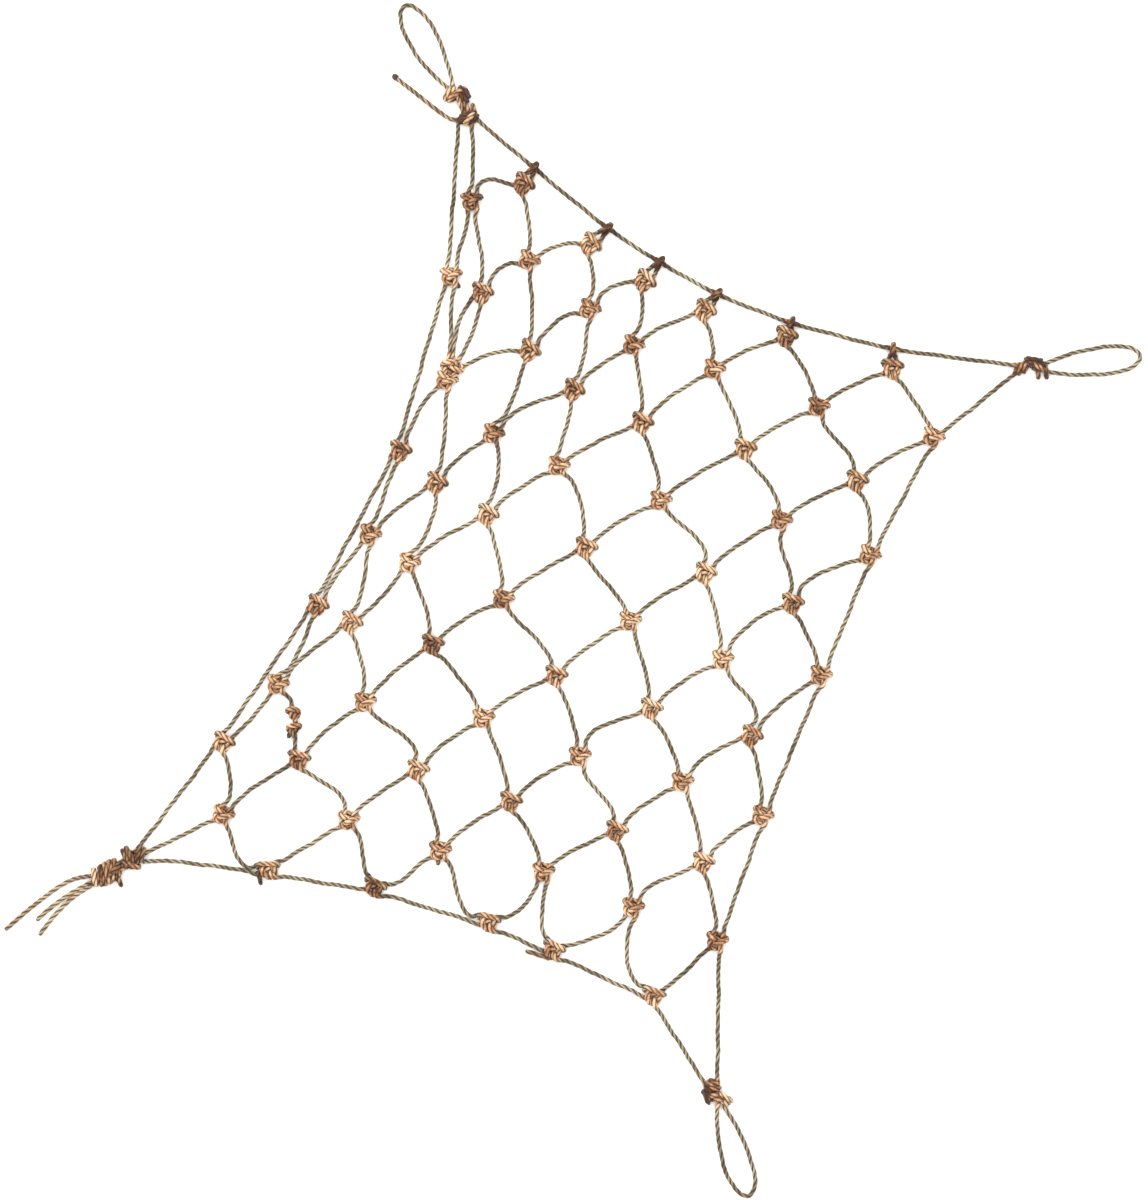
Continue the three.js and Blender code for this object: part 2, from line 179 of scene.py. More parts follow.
@dataclass(frozen=True)
class Course:
    """A row of knots from the lower left to the upper right, on a bend through three places."""

    number: int
    first: int
    count: int
    start: tuple[float, float]
    middle: tuple[float, float]
    finish: tuple[float, float]

    def place(self, i: int) -> np.ndarray:
        """Where the knot that is i-th from the lower left lies."""
        t = i / (self.count - 1)
        shares = ((1 - t) * (1 - 2 * t), 4 * t * (1 - t), t * (2 * t - 1))
        return sum(s * np.array(p) for s, p in zip(shares, (self.start, self.middle, self.finish)))


COURSES = (
    Course(-5, 0, 2, (-117, 457), (-88, 466), (-59, 476)),
    Course(-4, 0, 3, (-106, 351), (-52, 389), (18, 407)),
    Course(-3, -1, 5, (-200, 170), (-59, 294), (80, 365)),
    Course(-2, -2, 7, (-295, -7), (-86, 193), (149, 331)),
    Course(-1, -3, 9, (-403, -164), (-100, 97), (243, 301)),
    Course(0, -3, 10, (-403, -247), (-30, 31), (365, 264)),
    Course(1, -3, 10, (-350, -310), (22, -52), (412, 187)),
    Course(2, -2, 8, (-229, -330), (47, -153), (339, 51)),
    Course(3, -1, 6, (-98, -370), (86, -238), (283, -87)),
    Course(4, 0, 4, (-24, -402), (109, -328), (216, -248)),
    Course(5, 1, 2, (91, -455), (128, -424), (164, -392)),
)

# How far a knot was tied away from its even place: course, column, right, up.
UNEVEN = (
    (-3, 0, -17, 13), (-3, 1, 7, -9), (-3, 2, 7, -3), (-2, -1, -6, 8), (-2, 1, -7, -3),
    (-2, 2, 9, -6), (-1, -2, -9, -4), (-1, 0, -10, 5), (-1, 3, 11, -4), (-1, 4, 7, 9),
    (0, -2, 6, -3), (0, 0, -6, 5), (0, 1, -9, -2), (0, 4, 9, 6), (0, 5, 5, 5),
    (1, -2, 10, -2), (1, -1, 7, -3), (1, 1, -1, -8), (1, 4, 1, 8), (2, -1, -2, -6),
    (2, 4, -4, 5), (3, 0, -9, 7), (3, 3, 0, -7),
)

# How far a strand bows right or up of its chord at its quarters: course, column, near, far.
EVEN_BOW = {"course": (4, 3), "column": (2.5, 4)}
SLACK = {
    "course": (
        (-5, 0, 18, 8), (-4, 0, 8, 10), (-4, 1, 6, 8), (-3, -1, -4, -7), (-3, 0, 9, 10),
        (-3, 1, 6, 9), (-3, 2, 9, 9), (-2, -2, -2, -2), (-2, 1, 9, 6), (1, -3, 0, 0),
        (2, -2, -8, -1), (2, 1, 14, 6), (2, 3, 9, 9), (2, 4, 12, 6), (3, -1, -11, -9),
        (3, 2, 7, 6), (4, 0, -6, -10), (4, 1, 9, 3), (5, 1, -3, -1),
    ),
    "column": (
        (-4, 0, -12, -3), (-3, -1, 0, 0), (-2, 0, 8, 5), (-2, 1, 9, 5), (-2, 2, 2, -1),
        (-1, -3, 5, 8), (-1, -2, 10, 2), (-1, 2, 11, 7), (0, -3, -7, -18), (0, -2, 1, 11),
        (0, -1, 1, 14), (0, 1, 0, 8), (0, 2, -3, 4), (0, 3, 3, 15), (0, 4, 2, 8),
        (0, 5, -2, 8), (1, -2, 5, -3), (1, 4, -3, 4), (1, 5, 7, 6), (2, -1, 0, -15),
        (2, 1, -3, 7), (2, 3, 3, 16), (3, 0, -1, -9), (4, 1, -10, -18),
    ),
}

# The small bights that hang the top row's knots on their rope: course, column, right, up.
HANGERS = ((-5, 1, 13, 18), (-4, 2, 20, 18), (-3, 3, 18, 21), (-2, 4, 15, 18), (-1, 5, 6, 15), (0, 6, 1, 22))

TIE = "left_tie"
TIE_AT = (-141.0, 371.0)
MEND_AT = (-320.0, -137.0)
MENDED = (-1, -2)

# Cut ends that stick out of a knot: from inside the knot to the cut.
TAILS = (
    ((-139, 368), (-131, 359)),
    ((-154, -290), (-156, -304)),
    ((-27, -411), (-55, -403)),
    ((-362, -311), (-359, -327)),
)


class Corner(Enum):
    """The four corners of the net."""

    TOP_LEFT = "top_left"
    RIGHT = "right"
    BOTTOM_RIGHT = "bottom_right"
    BOTTOM_LEFT = "bottom_left"


@dataclass(frozen=True)
class EdgePlan:
    """An edge rope: its ends, a place that it is drawn aside to and how far outside its knots."""

    edge: Edge
    start: tuple[float, float]
    finish: tuple[float, float]
    outside: tuple[float, float]
    begins: Label
    ends: Label
    aside: tuple[tuple[float, float], ...] = ()


EDGE_PLANS = (
    EdgePlan(Edge.TOP, (-110, 551), (512, 269), (0.8, 1.8),
             (Corner.TOP_LEFT.value, Arm.LOWER_RIGHT), (Corner.RIGHT.value, Arm.LOWER_LEFT)),
    EdgePlan(Edge.RIGHT, (512, 264), (165, -572), (3, -1.5),
             (Corner.RIGHT.value, Arm.LOWER_RIGHT), (Corner.BOTTOM_RIGHT.value, Arm.LOWER_LEFT)),
    EdgePlan(Edge.BOTTOM, (-494, -300), (160, -570), (-1, -4.5),
             (Corner.BOTTOM_LEFT.value, Arm.LOWER_LEFT), (Corner.BOTTOM_RIGHT.value, Arm.LOWER_RIGHT),
             aside=((-450, -301),)),
    EdgePlan(Edge.LEFT, (-132, 550), (-504, -290), (-3.5, 2),
             (Corner.TOP_LEFT.value, Arm.LOWER_LEFT), (Corner.BOTTOM_LEFT.value, Arm.LOWER_RIGHT)),
)

# Which arms of a knot an edge rope comes in and goes out by, in the order of its stations.
EDGE_ARMS = {
    Edge.RIGHT: (Arm.UPPER_RIGHT, Arm.LOWER_RIGHT),
    Edge.BOTTOM: (Arm.LOWER_LEFT, Arm.LOWER_RIGHT),
    Edge.LEFT: (Arm.UPPER_LEFT, Arm.LOWER_LEFT),
}

CORNER_STARTS = {Corner.TOP_LEFT: (-117.0, 549.0), Corner.BOTTOM_LEFT: (-494.0, -292.0)}

# The middle of each corner, where its ropes go in under the turns.
CORNER_AT = {
    Corner.TOP_LEFT: (-121.0, 554.0),
    Corner.RIGHT: (524.0, 268.0),
    Corner.BOTTOM_RIGHT: (163.0, -570.0),
    Corner.BOTTOM_LEFT: (-507.0, -297.0),
}

# Two more ropes between the two knots of a corner, from the middle of one to that of the other.
NECKS = {
    Corner.TOP_LEFT: (((-133, 580), (-129, 567), (-125, 556)), ((-127, 579), (-123, 567), (-118, 556))),
    Corner.BOTTOM_LEFT: (((-534, -309), (-521, -302), (-507, -295)), ((-534, -317), (-519, -309), (-505, -301))),
}

# Places outside the net's own knots where the rope is as warm as in a knot, and how far.
WARM_SPOTS = ((MEND_AT, 16.0), ((-141.0, 267.0), 17.0), ((-134.0, 580.0), 15.0), ((-534.0, -312.0), 21.0), ((513.0, 266.0), 10.0),
              ((160.0, -557.0), 10.0))

# Each eye is one bend from leg to leg round two control points.
EYES = {
    Corner.TOP_LEFT: ((-145, 588), (-254, 684), (-169, 743), (-138, 588)),
    Corner.RIGHT: ((538, 270), (680, 332), (699, 238), (538, 263)),
    Corner.BOTTOM_RIGHT: ((165, -580), (160, -724), (260, -716), (172, -580)),
}

# Where the ends of each eye go in under the turns of its knot.
EYE_ROOTS = {Corner.TOP_LEFT: (-138.0, 582.0), Corner.RIGHT: (530.0, 268.0), Corner.BOTTOM_RIGHT: (167.0, -572.0)}

# Free ends of rope, from inside their knot to the cut end.
FREE_ENDS = {
    Corner.TOP_LEFT: (((-124, 553), (-139, 552), (-153, 560), (-181, 582), (-208, 603)),),
    Corner.BOTTOM_LEFT: (
        ((-545, -315), (-580, -323), (-618, -349), (-653, -379)),
        ((-545, -320), (-576, -336), (-600, -353), (-617, -368)),
        ((-545, -322), (-574, -341), (-595, -361), (-614, -385)),
    ),
}


@dataclass
class Strand:
    """A strand of twine from the middle of one knot to the middle of the next."""

    begins: Label
    ends: Label
    near: float = 0.0
    far: float = 0.0


@dataclass
class Plan:
    """Where everything lies: the drawing's tables and the lines that follow from them.

    Attributes:
        twine: Diameter of the netting's twine.
        rope: Diameter of the edge ropes and eyes.
        knot: Diameter that the twine is tied at, a little swollen by the turns.
        rest: How high a rope's middle lies on the surface, above its radius.
        rise: Height of a knot's middle.
        reach: How far from a knot's middle its ropes count as part of the knot.
        held: How far from a knot a rope is back down on the surface.
        middle: Where the drawing's origin lies in the model.
    """

    twine: float = 5.3
    rope: float = 5.3
    knot: float = 6.2
    rest: float = 0.15
    rise: float = 8.0
    reach: float = 18.0
    held: float = 32.0
    middle: tuple[float, float] = (1.595, 0.155)
    knots: dict[KnotName, np.ndarray] = field(default_factory=dict)
    strands: list[Strand] = field(default_factory=list)

    def __post_init__(self) -> None:
        """Places the knots and lists the strands."""
        for course in COURSES:
            for i in range(course.count):
                self.knots[(course.number, course.first + i)] = course.place(i)
        for course, column, right, up in UNEVEN:
            self.knots[(course, column)] = self.knots[(course, column)] + (right, up)
        self._list_strands()
        self.knots[TIE] = np.array(TIE_AT)
        self.rng = np.random.default_rng(SEED)

    def _bow(self, line: str, course: int, column: int) -> tuple[float, float]:
        """How a strand bows at its first and third quarters."""
        for c, k, near, far in SLACK[line]:
            if (c, k) == (course, column):
                return near, far
        return EVEN_BOW[line]

    def _list_strands(self) -> None:
        """Lists the strands along the courses, down the columns and the odd ones."""
        for c, k in self.knots:
            if (c, k + 1) in self.knots:
                self.strands.append(
                    Strand(((c, k), Arm.UPPER_RIGHT), ((c, k + 1), Arm.LOWER_LEFT), *self._bow("course", c, k)))
            if (c + 1, k) in self.knots and (c, k) != (-4, 0):
                self.strands.append(
                    Strand(((c, k), Arm.LOWER_RIGHT), ((c + 1, k), Arm.UPPER_LEFT), *self._bow("column", c, k)))
        top, bottom = Corner.TOP_LEFT.value, Corner.BOTTOM_LEFT.value
        self.strands += [
            Strand(((-4, 0), Arm.LOWER_LEFT), ((-3, 0), Arm.TURN_IN), -12, -3),
            Strand(((-4, 0), Arm.LOWER_RIGHT), ((-3, 0), Arm.TURN_OUT), 6, 4),
            Strand(((-5, 0), Arm.LOWER_LEFT), (TIE, Arm.UPPER_RIGHT), 1, 1),
            Strand((TIE, Arm.LOWER_RIGHT), ((-3, 0), Arm.UPPER_LEFT), 2, 2),
            Strand((top, Arm.TURN_OUT), ((-5, 0), Arm.UPPER_LEFT), 1, 1),
            Strand((bottom, Arm.TURN_IN), ((0, -3), Arm.LOWER_LEFT), 0, 0),
        ]

    def place(self, name: KnotName) -> np.ndarray:
        """Where a knot lies, or where a strand begins in a corner."""
        if name in self.knots:
            return self.knots[name]
        return np.array(CORNER_STARTS[Corner(name)])

    def strand_line(self, strand: Strand) -> Line:
        """The line of a strand from knot to knot: a cubic bend, down on the surface between."""
        start, finish = self.place(strand.begins[0]), self.place(strand.ends[0])
        chord = finish - start
        aside = unit((-chord[1], chord[0]))
        if aside.sum() < 0:
            aside = -aside
        near, far = 8 / 3 * strand.near - 8 / 9 * strand.far, 8 / 3 * strand.far - 8 / 9 * strand.near
        count = int(np.linalg.norm(chord) / 1.5)
        t = np.linspace(0, 1, count)[:, None]
        plan = start + chord * t + aside * (3 * t * (1 - t) * ((1 - t) * near + t * far))
        return self.lift(self.waver(plan, 0.4), self.twine, (start, finish))

    def waver(self, plan: Line, size: float) -> Line:
        """Gives a line the slight unevenness of real rope, fading out at its ends.

        Args:
            plan: Points in the plane.
            size: How far it strays, in millimetres.

        Returns:
            The new points.
        """
        far = lengths_along(plan)
        across = np.gradient(plan, axis=0) @ np.array([[0, 1], [-1, 0]])
        across /= np.linalg.norm(across, axis=1)[:, None]
        waves = sum(
            np.sin(2 * math.pi * far / long + self.rng.uniform(0, 2 * math.pi)) * share
            for long, share in ((61.0, 0.9), (33.0, 0.7), (17.0, 0.4))
        )
        fade = np.sin(math.pi * np.clip(far / far[-1], 0, 1)) ** 0.5
        return plan + across * (waves * fade * size)[:, None]

    def lift(self, plan: Line, thick: float, held: Sequence[np.ndarray]) -> Line:
        """Gives a line in the plane its height: on the surface, and up at the knots that hold it."""
        away = np.min([np.linalg.norm(plan - np.asarray(h)[:2], axis=1) for h in held], axis=0)
        low = thick / 2 + self.rest
        height = low + (self.rise - low) * np.clip(1 - away / self.held, 0, 1) ** 2
        return np.column_stack([plan, height])

    def trim(self, line: Line, start: np.ndarray | None, finish: np.ndarray | None,
             reaches: tuple[float, float]) -> Line:
        """Cuts a line where it comes within reach of the knots at its ends."""
        first, last = 0, len(line)
        if start is not None:
            first = int(np.argmax(np.linalg.norm(line[:, :2] - start, axis=1) >= reaches[0]))
        if finish is not None:
            inside = np.linalg.norm(line[:, :2] - finish, axis=1) >= reaches[1]
            last = len(line) - int(np.argmax(inside[::-1]))
        return line[first:last]

    def metres(self, line: Line) -> Line:
        """A line of the drawing in the model's metres."""
        return (line + (*self.middle, 0.0)) * MM


# Knots.


@dataclass
class KnotTyer:
    """Ties knots: chains of beads shorten while they stay a rope's thickness apart.

    Everything is in rope diameters. Each chain's first and last bead stay where they are.

    Attributes:
        pull: How much of the way to its neighbours' middle a bead moves in a round.
        thickness: How near two turns may come.
        apart: How far apart along their own chain beads have to be to push each other.
        looks: Rounds between two looks for beads that are near each other.
    """

    pull: float = 0.2
    thickness: float = 0.94
    apart: float = 1.5
    looks: int = 6

    def tie(self, chains: list[np.ndarray], rounds: int, floor: float | None = None) -> list[np.ndarray]:
        """Tightens knots that have the same number of chains and beads, side by side.

        Args:
            chains: For each chain an array of knots, beads and three coordinates.
            rounds: How many rounds to go.
            floor: The height that no bead goes below.

        Returns:
            The chains of the tied knots.
        """
        sizes = [chain.shape[1] for chain in chains]
        starts = np.cumsum([0, *sizes])
        beads = np.concatenate(chains, axis=1).astype(float)
        knots, total = beads.shape[:2]
        chain_of = np.repeat(np.arange(len(sizes)), sizes)
        fixed = np.concatenate([starts[:-1], starts[1:] - 1])
        inner = np.setdiff1d(np.arange(total), fixed)
        one, other = np.triu_indices(total, 1)
        same, steps = chain_of[one] == chain_of[other], other - one
        free = np.ones((knots, total, 1))
        free[:, fixed] = 0
        for turn in range(rounds):
            ease = 1 - 0.8 * turn / rounds if turn > rounds / 2 else 1.0
            middle = 0.5 * (beads[:, inner - 1] + beads[:, inner + 1])
            beads[:, inner] += self.pull * ease * (middle - beads[:, inner])
            if turn % self.looks == 0:
                near = self._near(beads, one, other, same, steps, starts, chain_of)
            for _ in range(3):
                beads += self._push(beads, *near) * free
            if floor is not None:
                beads[:, inner, 2] = np.maximum(beads[:, inner, 2], floor)
        return [beads[:, a:b] for a, b in zip(starts[:-1], starts[1:])]

    def _near(self, beads: np.ndarray, one: np.ndarray, other: np.ndarray, same: np.ndarray,
              steps: np.ndarray, starts: np.ndarray, chain_of: np.ndarray) -> tuple[np.ndarray, np.ndarray]:
        """The pairs of beads that may touch in the next rounds, as places in the flat array."""
        spacing = np.stack([
            np.linalg.norm(np.diff(beads[:, a:b], axis=1), axis=2).mean(1)
            for a, b in zip(starts[:-1], starts[1:])
        ], axis=1)
        allowed = ~same | (steps * spacing[:, chain_of[one]] > self.apart)
        gap = ((beads[:, one] - beads[:, other]) ** 2).sum(-1)
        knot, pair = np.nonzero((gap < (self.thickness * 1.5) ** 2) & allowed)
        base = knot * beads.shape[1]
        return base + one[pair], base + other[pair]

    def _push(self, beads: np.ndarray, one: np.ndarray, other: np.ndarray) -> np.ndarray:
        """How far each bead is pushed by those that are too near."""
        flat = beads.reshape(-1, 3)
        between = flat[one] - flat[other]
        gap = np.sqrt((between**2).sum(-1))
        hit = gap < self.thickness
        one, other, between, gap = one[hit], other[hit], between[hit], gap[hit]
        move = between * (0.5 * (self.thickness - gap) / np.maximum(gap, 1e-6))[:, None]
        both, moves = np.concatenate([one, other]), np.concatenate([move, -move])
        total = np.stack([np.bincount(both, moves[:, k], len(flat)) for k in range(3)], axis=1)
        shared = np.maximum(1, np.bincount(both, minlength=len(flat)) ** 0.6)[:, None]
        return (total / shared).reshape(beads.shape)


@dataclass
class BendPlace:
    """Where and how one sheet bend is tied.

    Attributes:
        name: The knot's name.
        centre: Its middle, in the plane.
        arms: Where each rope leaves it, as points of the drawing.
        owners: The piece that each arm's rope belongs to.
        rope: The piece that the knot itself belongs to.
        turned: Whether it shows its back.
        diameter: Of its rope.
        up: Its up direction, or None to take it from its arms.
        height: How high its middle lies.
        low: How low the middle of its rope may lie, in diameters above the surface.
    """

    name: KnotName
    centre: np.ndarray
    arms: dict[Arm, np.ndarray]
    owners: dict[Arm, str]
    turned: bool = False
    diameter: float = 5.7
    rope: str = NETTING
    up: np.ndarray | None = None
    height: float = 8.0
    low: float = 0.56

    @property
    def floor(self) -> float:
        """How low the middle of its rope may lie, in its own diameters."""
        return (self.low * self.diameter - self.height) / self.diameter

    def axes(self) -> np.ndarray:
        """The knot's right, up and outward axes as the rows of a matrix."""
        up = self.up
        if up is None:
            signs = {Arm.UPPER_LEFT: 1, Arm.UPPER_RIGHT: 1, Arm.LOWER_LEFT: -1, Arm.LOWER_RIGHT: -1}
            up = sum(sign * unit(self.arms[arm][:2] - self.centre) for arm, sign in signs.items())
        up = unit(up)
        return np.array([[up[1], -up[0], 0.0], [up[0], up[1], 0.0], [0.0, 0.0, 1.0]])

    def local(self, points: np.ndarray) -> np.ndarray:
        """Points of the drawing in the knot's own axes and rope diameters."""
        return (points - (*self.centre, self.height)) @ self.axes().T / self.diameter

    def world(self, points: np.ndarray) -> np.ndarray:
        """The knot's own points in the drawing."""
        return points * self.diameter @ self.axes() + (*self.centre, self.height)


@dataclass
class SheetBend:
    """The knot of the net: a bight with the other twine turned round it and tucked under itself.

    Attributes:
        tyer: Ties it.
        bight_beads: Beads of the bight's chain.
        tying_beads: Beads of the tying twine's chain.
        turn_beads: Beads of a third rope that is turned round the neck.
        reach: How far from its middle its own shape goes, in diameters.
    """

    tyer: KnotTyer = field(default_factory=KnotTyer)
    bight_beads: int = 40
    tying_beads: int = 76
    turn_beads: int = 60
    reach: float = 3.6
    bight: tuple[tuple[float, float, float], ...] = (
        (-4.0, 5.5, 0), (-1.35, 2.6, 0), (-1.05, 1.0, 0), (-1.0, -0.5, 0), (-0.5, -1.45, 0), (0, -1.7, 0),
        (0.5, -1.45, 0), (1.0, -0.5, 0), (1.05, 1.0, 0), (1.35, 2.6, 0), (4.0, 5.5, 0),
    )
    tying: tuple[tuple[float, float, float], ...] = (
        (-4.0, -5.5, 0), (-1.9, -3.2, -0.4), (-0.7, -2.1, -1.1), (-0.25, -1.1, -0.5), (-0.15, -0.5, 0.6),
        (0.1, 0.0, 1.5), (0.55, 0.6, 1.6), (1.2, 1.0, 1.15), (2.1, 1.3, 0.3), (2.0, 1.4, -0.7),
        (1.0, 1.4, -1.2), (0, 1.4, -1.25), (-1.0, 1.4, -1.2), (-2.0, 1.3, -0.6), (-2.0, 1.0, 0.5),
        (-1.2, 0.6, 1.15), (-0.4, 0.1, 0.5), (0.3, -0.3, 0.35), (1.0, -0.7, 1.1), (1.9, -1.8, 0.8),
        (4.0, -5.0, 0),
    )
    turn: tuple[tuple[float, float, float], ...] = (
        (-1.8, 3.6, 1.2), (-0.2, 2.9, 1.9), (1.6, 2.7, 1.4), (2.2, 2.7, 0.0), (1.4, 2.7, -1.5),
        (0, 2.7, -1.7), (-1.4, 2.7, -1.5), (-2.2, 2.8, 0.0), (-1.5, 3.0, 1.5), (0.2, 3.4, 2.1),
    )

    def __post_init__(self) -> None:
        """Ties the knot once, as a pattern for all the others."""
        chains = [evenly(rounded(self.bight), 44)[None], evenly(rounded(self.tying), 84)[None]]
        tied = self.tyer.tie(chains, 240)
        self.pattern = [self._core(tied[0][0], self.bight_beads), self._core(tied[1][0], self.tying_beads)]

    def _core(self, chain: Line, count: int) -> Line:
        """The part of a chain from where it enters the knot's reach to where it leaves it."""
        inside = np.nonzero(np.linalg.norm(chain[:, :2], axis=1) < self.reach)[0]
        return evenly(chain[max(inside[0] - 1, 0): inside[-1] + 2], count)

    def _laid(self, place: BendPlace) -> list[np.ndarray]:
        """The pattern as it is before tightening: turned if need be, with its arms led out."""
        corners = [(Arm.UPPER_LEFT, Arm.UPPER_RIGHT), (Arm.LOWER_LEFT, Arm.LOWER_RIGHT)]
        chains = []
        for chain, (start, finish) in zip(self.pattern, corners):
            line = chain.copy()
            if place.turned:
                line = (line * (-1, 1, -1))[::-1].copy()
            radius = np.linalg.norm(line[:, :2], axis=1)
            lead = eased((radius - 1.9) / (self.reach - 1.9))[:, None]
            first = np.arange(len(line))[:, None] < len(line) / 2
            away = [place.local(place.arms[arm]) - end for arm, end in ((start, line[0]), (finish, line[-1]))]
            line += lead * np.where(first, away[0], away[1])
            line[0], line[-1] = place.local(place.arms[start]), place.local(place.arms[finish])
            chains.append(line)
        return chains

    def tie_all(self, places: list[BendPlace], rng: np.random.Generator) -> list[Link]:
        """Ties a number of bends, each with its own arms.

        Args:
            places: Where and how each is tied.
            rng: For the small differences between hand-tied knots.

        Returns:
            The links of rope that they are made of.
        """
        laid = [self._laid(place) for place in places]
        chains = [np.stack([one[i] for one in laid]) for i in range(2)]
        for chain in chains:
            chain[:, 1:-1] += rng.normal(0, 0.03, chain[:, 1:-1].shape)
        tied = self.tyer.tie(chains, 90, floor=places[0].floor)
        links = []
        for i, place in enumerate(places):
            links += self.links(place, [chain[i] for chain in tied])
        return links

    def tie_turned(self, place: BendPlace, rng: np.random.Generator) -> list[Link]:
        """Ties one bend with a third rope turned round its neck."""
        chains = [chain[None] for chain in self._laid(place)]
        path = [place.local(place.arms[Arm.TURN_IN]), *map(np.array, self.turn), place.local(place.arms[Arm.TURN_OUT])]
        chains.append(evenly(rounded(path), self.turn_beads)[None])
        for chain in chains:
            chain[:, 1:-1] += rng.normal(0, 0.02, chain[:, 1:-1].shape)
        tied = self.tyer.tie(chains, 150, floor=place.floor)
        return self.links(place, [chain[0] for chain in tied])

    def links(self, place: BendPlace, chains: list[Line]) -> list[Link]:
        """Divides a knot's chains among the pieces that they belong to, where no seam shows."""
        pairs = [(Arm.UPPER_LEFT, Arm.UPPER_RIGHT), (Arm.LOWER_LEFT, Arm.LOWER_RIGHT), (Arm.TURN_IN, Arm.TURN_OUT)]
        links = []
        for i, (chain, (start, finish)) in enumerate(zip(chains, pairs)):
            others = np.vstack([c for k, c in enumerate(chains) if k != i])
            line = place.world(chain)
            first, last = 0, len(line) - 1
            ends: list[Label | None] = [(place.name, start), (place.name, finish)]
            if place.owners.get(start, place.rope) != place.rope:
                first = self._hidden(chain, others, range(6, len(line) // 2))
                links.append(Link(line[: first + 2], (ends[0], None), place.owners[start]))
                ends[0] = None
            if place.owners.get(finish, place.rope) != place.rope:
                last = self._hidden(chain, others, range(len(line) // 2, len(line) - 6))
                links.append(Link(line[last - 1:], (None, ends[1]), place.owners[finish]))
                ends[1] = None
            links.append(Link(line[first: last + 1], (ends[0], ends[1]), place.rope))
        return links

    def _hidden(self, chain: Line, others: Line, choice: range) -> int:
        """The bead of a chain that lies deepest under the other rope."""
        best, deepest = choice[0], -9.0
        for i in choice:
            level = np.linalg.norm(others[:, :2] - chain[i, :2], axis=1)
            cover = (others[:, 2] - chain[i, 2] - 2.0 * np.maximum(level - 0.3, 0)).max()
            if cover > deepest:
                best, deepest = i, cover
        return best


@dataclass(frozen=True)
class Winding:
    """Rope wound round a bundle of ropes.

    Attributes:
        centre: Its middle, in the plane.
        axis: The bundle's direction, in degrees from +X.
        long: Its length along the bundle.
        wide: Its width across it.
        thick: Its height.
        turns: How many times it goes round.
        lean: How far a turn leans along the bundle, in millimetres.
        phase: Where round the bundle it begins, in turns.
        tone: How pale or, below 0, how dark it is.
        diameter: Of the wound rope.
    """

    centre: tuple[float, float]
    axis: float
    long: float
    wide: float
    thick: float
    turns: float
    lean: float = 3.0
    phase: float = 0.0
    tone: float = 0.0
    diameter: float = 5.3

    def line(self) -> Line:
        """The line that the wound rope follows, with both ends tucked in."""
        steps = int(self.turns * 28)
        s = np.linspace(0, 1, steps)
        angle = 2 * math.pi * (self.turns * s + self.phase)
        tuck = eased(s * 9) * eased((1 - s) * 9)
        body = np.sqrt(1 - 0.72 * (2 * s - 1) ** 2)
        along = (self.long - self.diameter) * (s - 0.5) * (0.35 + 0.65 * tuck) + self.lean * np.cos(angle) * tuck * body
        side = (self.wide - self.diameter) / 2 * np.cos(angle) * (0.15 + 0.85 * tuck) * body
        high = (self.thick - self.diameter) / 2 * np.sin(angle) * (0.15 + 0.85 * tuck) * body
        turn = math.radians(self.axis)
        ahead, across = np.array([math.cos(turn), math.sin(turn)]), np.array([-math.sin(turn), math.cos(turn)])
        plan = np.array(self.centre) + along[:, None] * ahead + side[:, None] * across
        return np.column_stack([plan, np.maximum(self.thick / 2 + high, 0.65 * self.diameter)])


# Node trees.


class Value:
    """A number in a node tree, which Python's operators add Math nodes to."""

    def __init__(self, bench: "Bench", socket: bpy.types.NodeSocket) -> None:
        """Wraps an output socket."""
        self.bench, self.socket = bench, socket

    def _with(self, operation: str, *inputs: "Value | float", **settings: object) -> "Value":
        """The outcome of a Math node on these inputs."""
        return self.bench.value("ShaderNodeMath", {"operation": operation, **settings}, dict(enumerate(inputs)))

    def __add__(self, other: "Value | float") -> "Value":
        """The sum."""
        return self._with("ADD", self, other)

    __radd__ = __add__

    def __sub__(self, other: "Value | float") -> "Value":
        """The difference."""
        return self._with("SUBTRACT", self, other)

    def __rsub__(self, other: "Value | float") -> "Value":
        """The difference from a number."""
        return self._with("SUBTRACT", other, self)

    def __mul__(self, other: "Value | float") -> "Value":
        """The product."""
        return self._with("MULTIPLY", self, other)

    __rmul__ = __mul__

    def __truediv__(self, other: "Value | float") -> "Value":
        """The quotient."""
        return self._with("DIVIDE", self, other)

    def __pow__(self, power: float) -> "Value":
        """A power."""
        return self._with("POWER", self, power)

    def function(self, operation: str, *more: "Value | float") -> "Value":
        """Any other operation of a Math node."""
        return self._with(operation, self, *more)

    def clamped(self) -> "Value":
        """The number held between 0 and 1."""
        return self._with("ADD", self, 0.0, use_clamp=True)

    def band(self, low: float, high: float) -> "Value":
        """A smooth step from 0 at low to 1 at high."""
        return self.bench.value(
            "ShaderNodeMapRange", {"interpolation_type": "SMOOTHSTEP"}, {"Value": self, "From Min": low, "From Max": high})


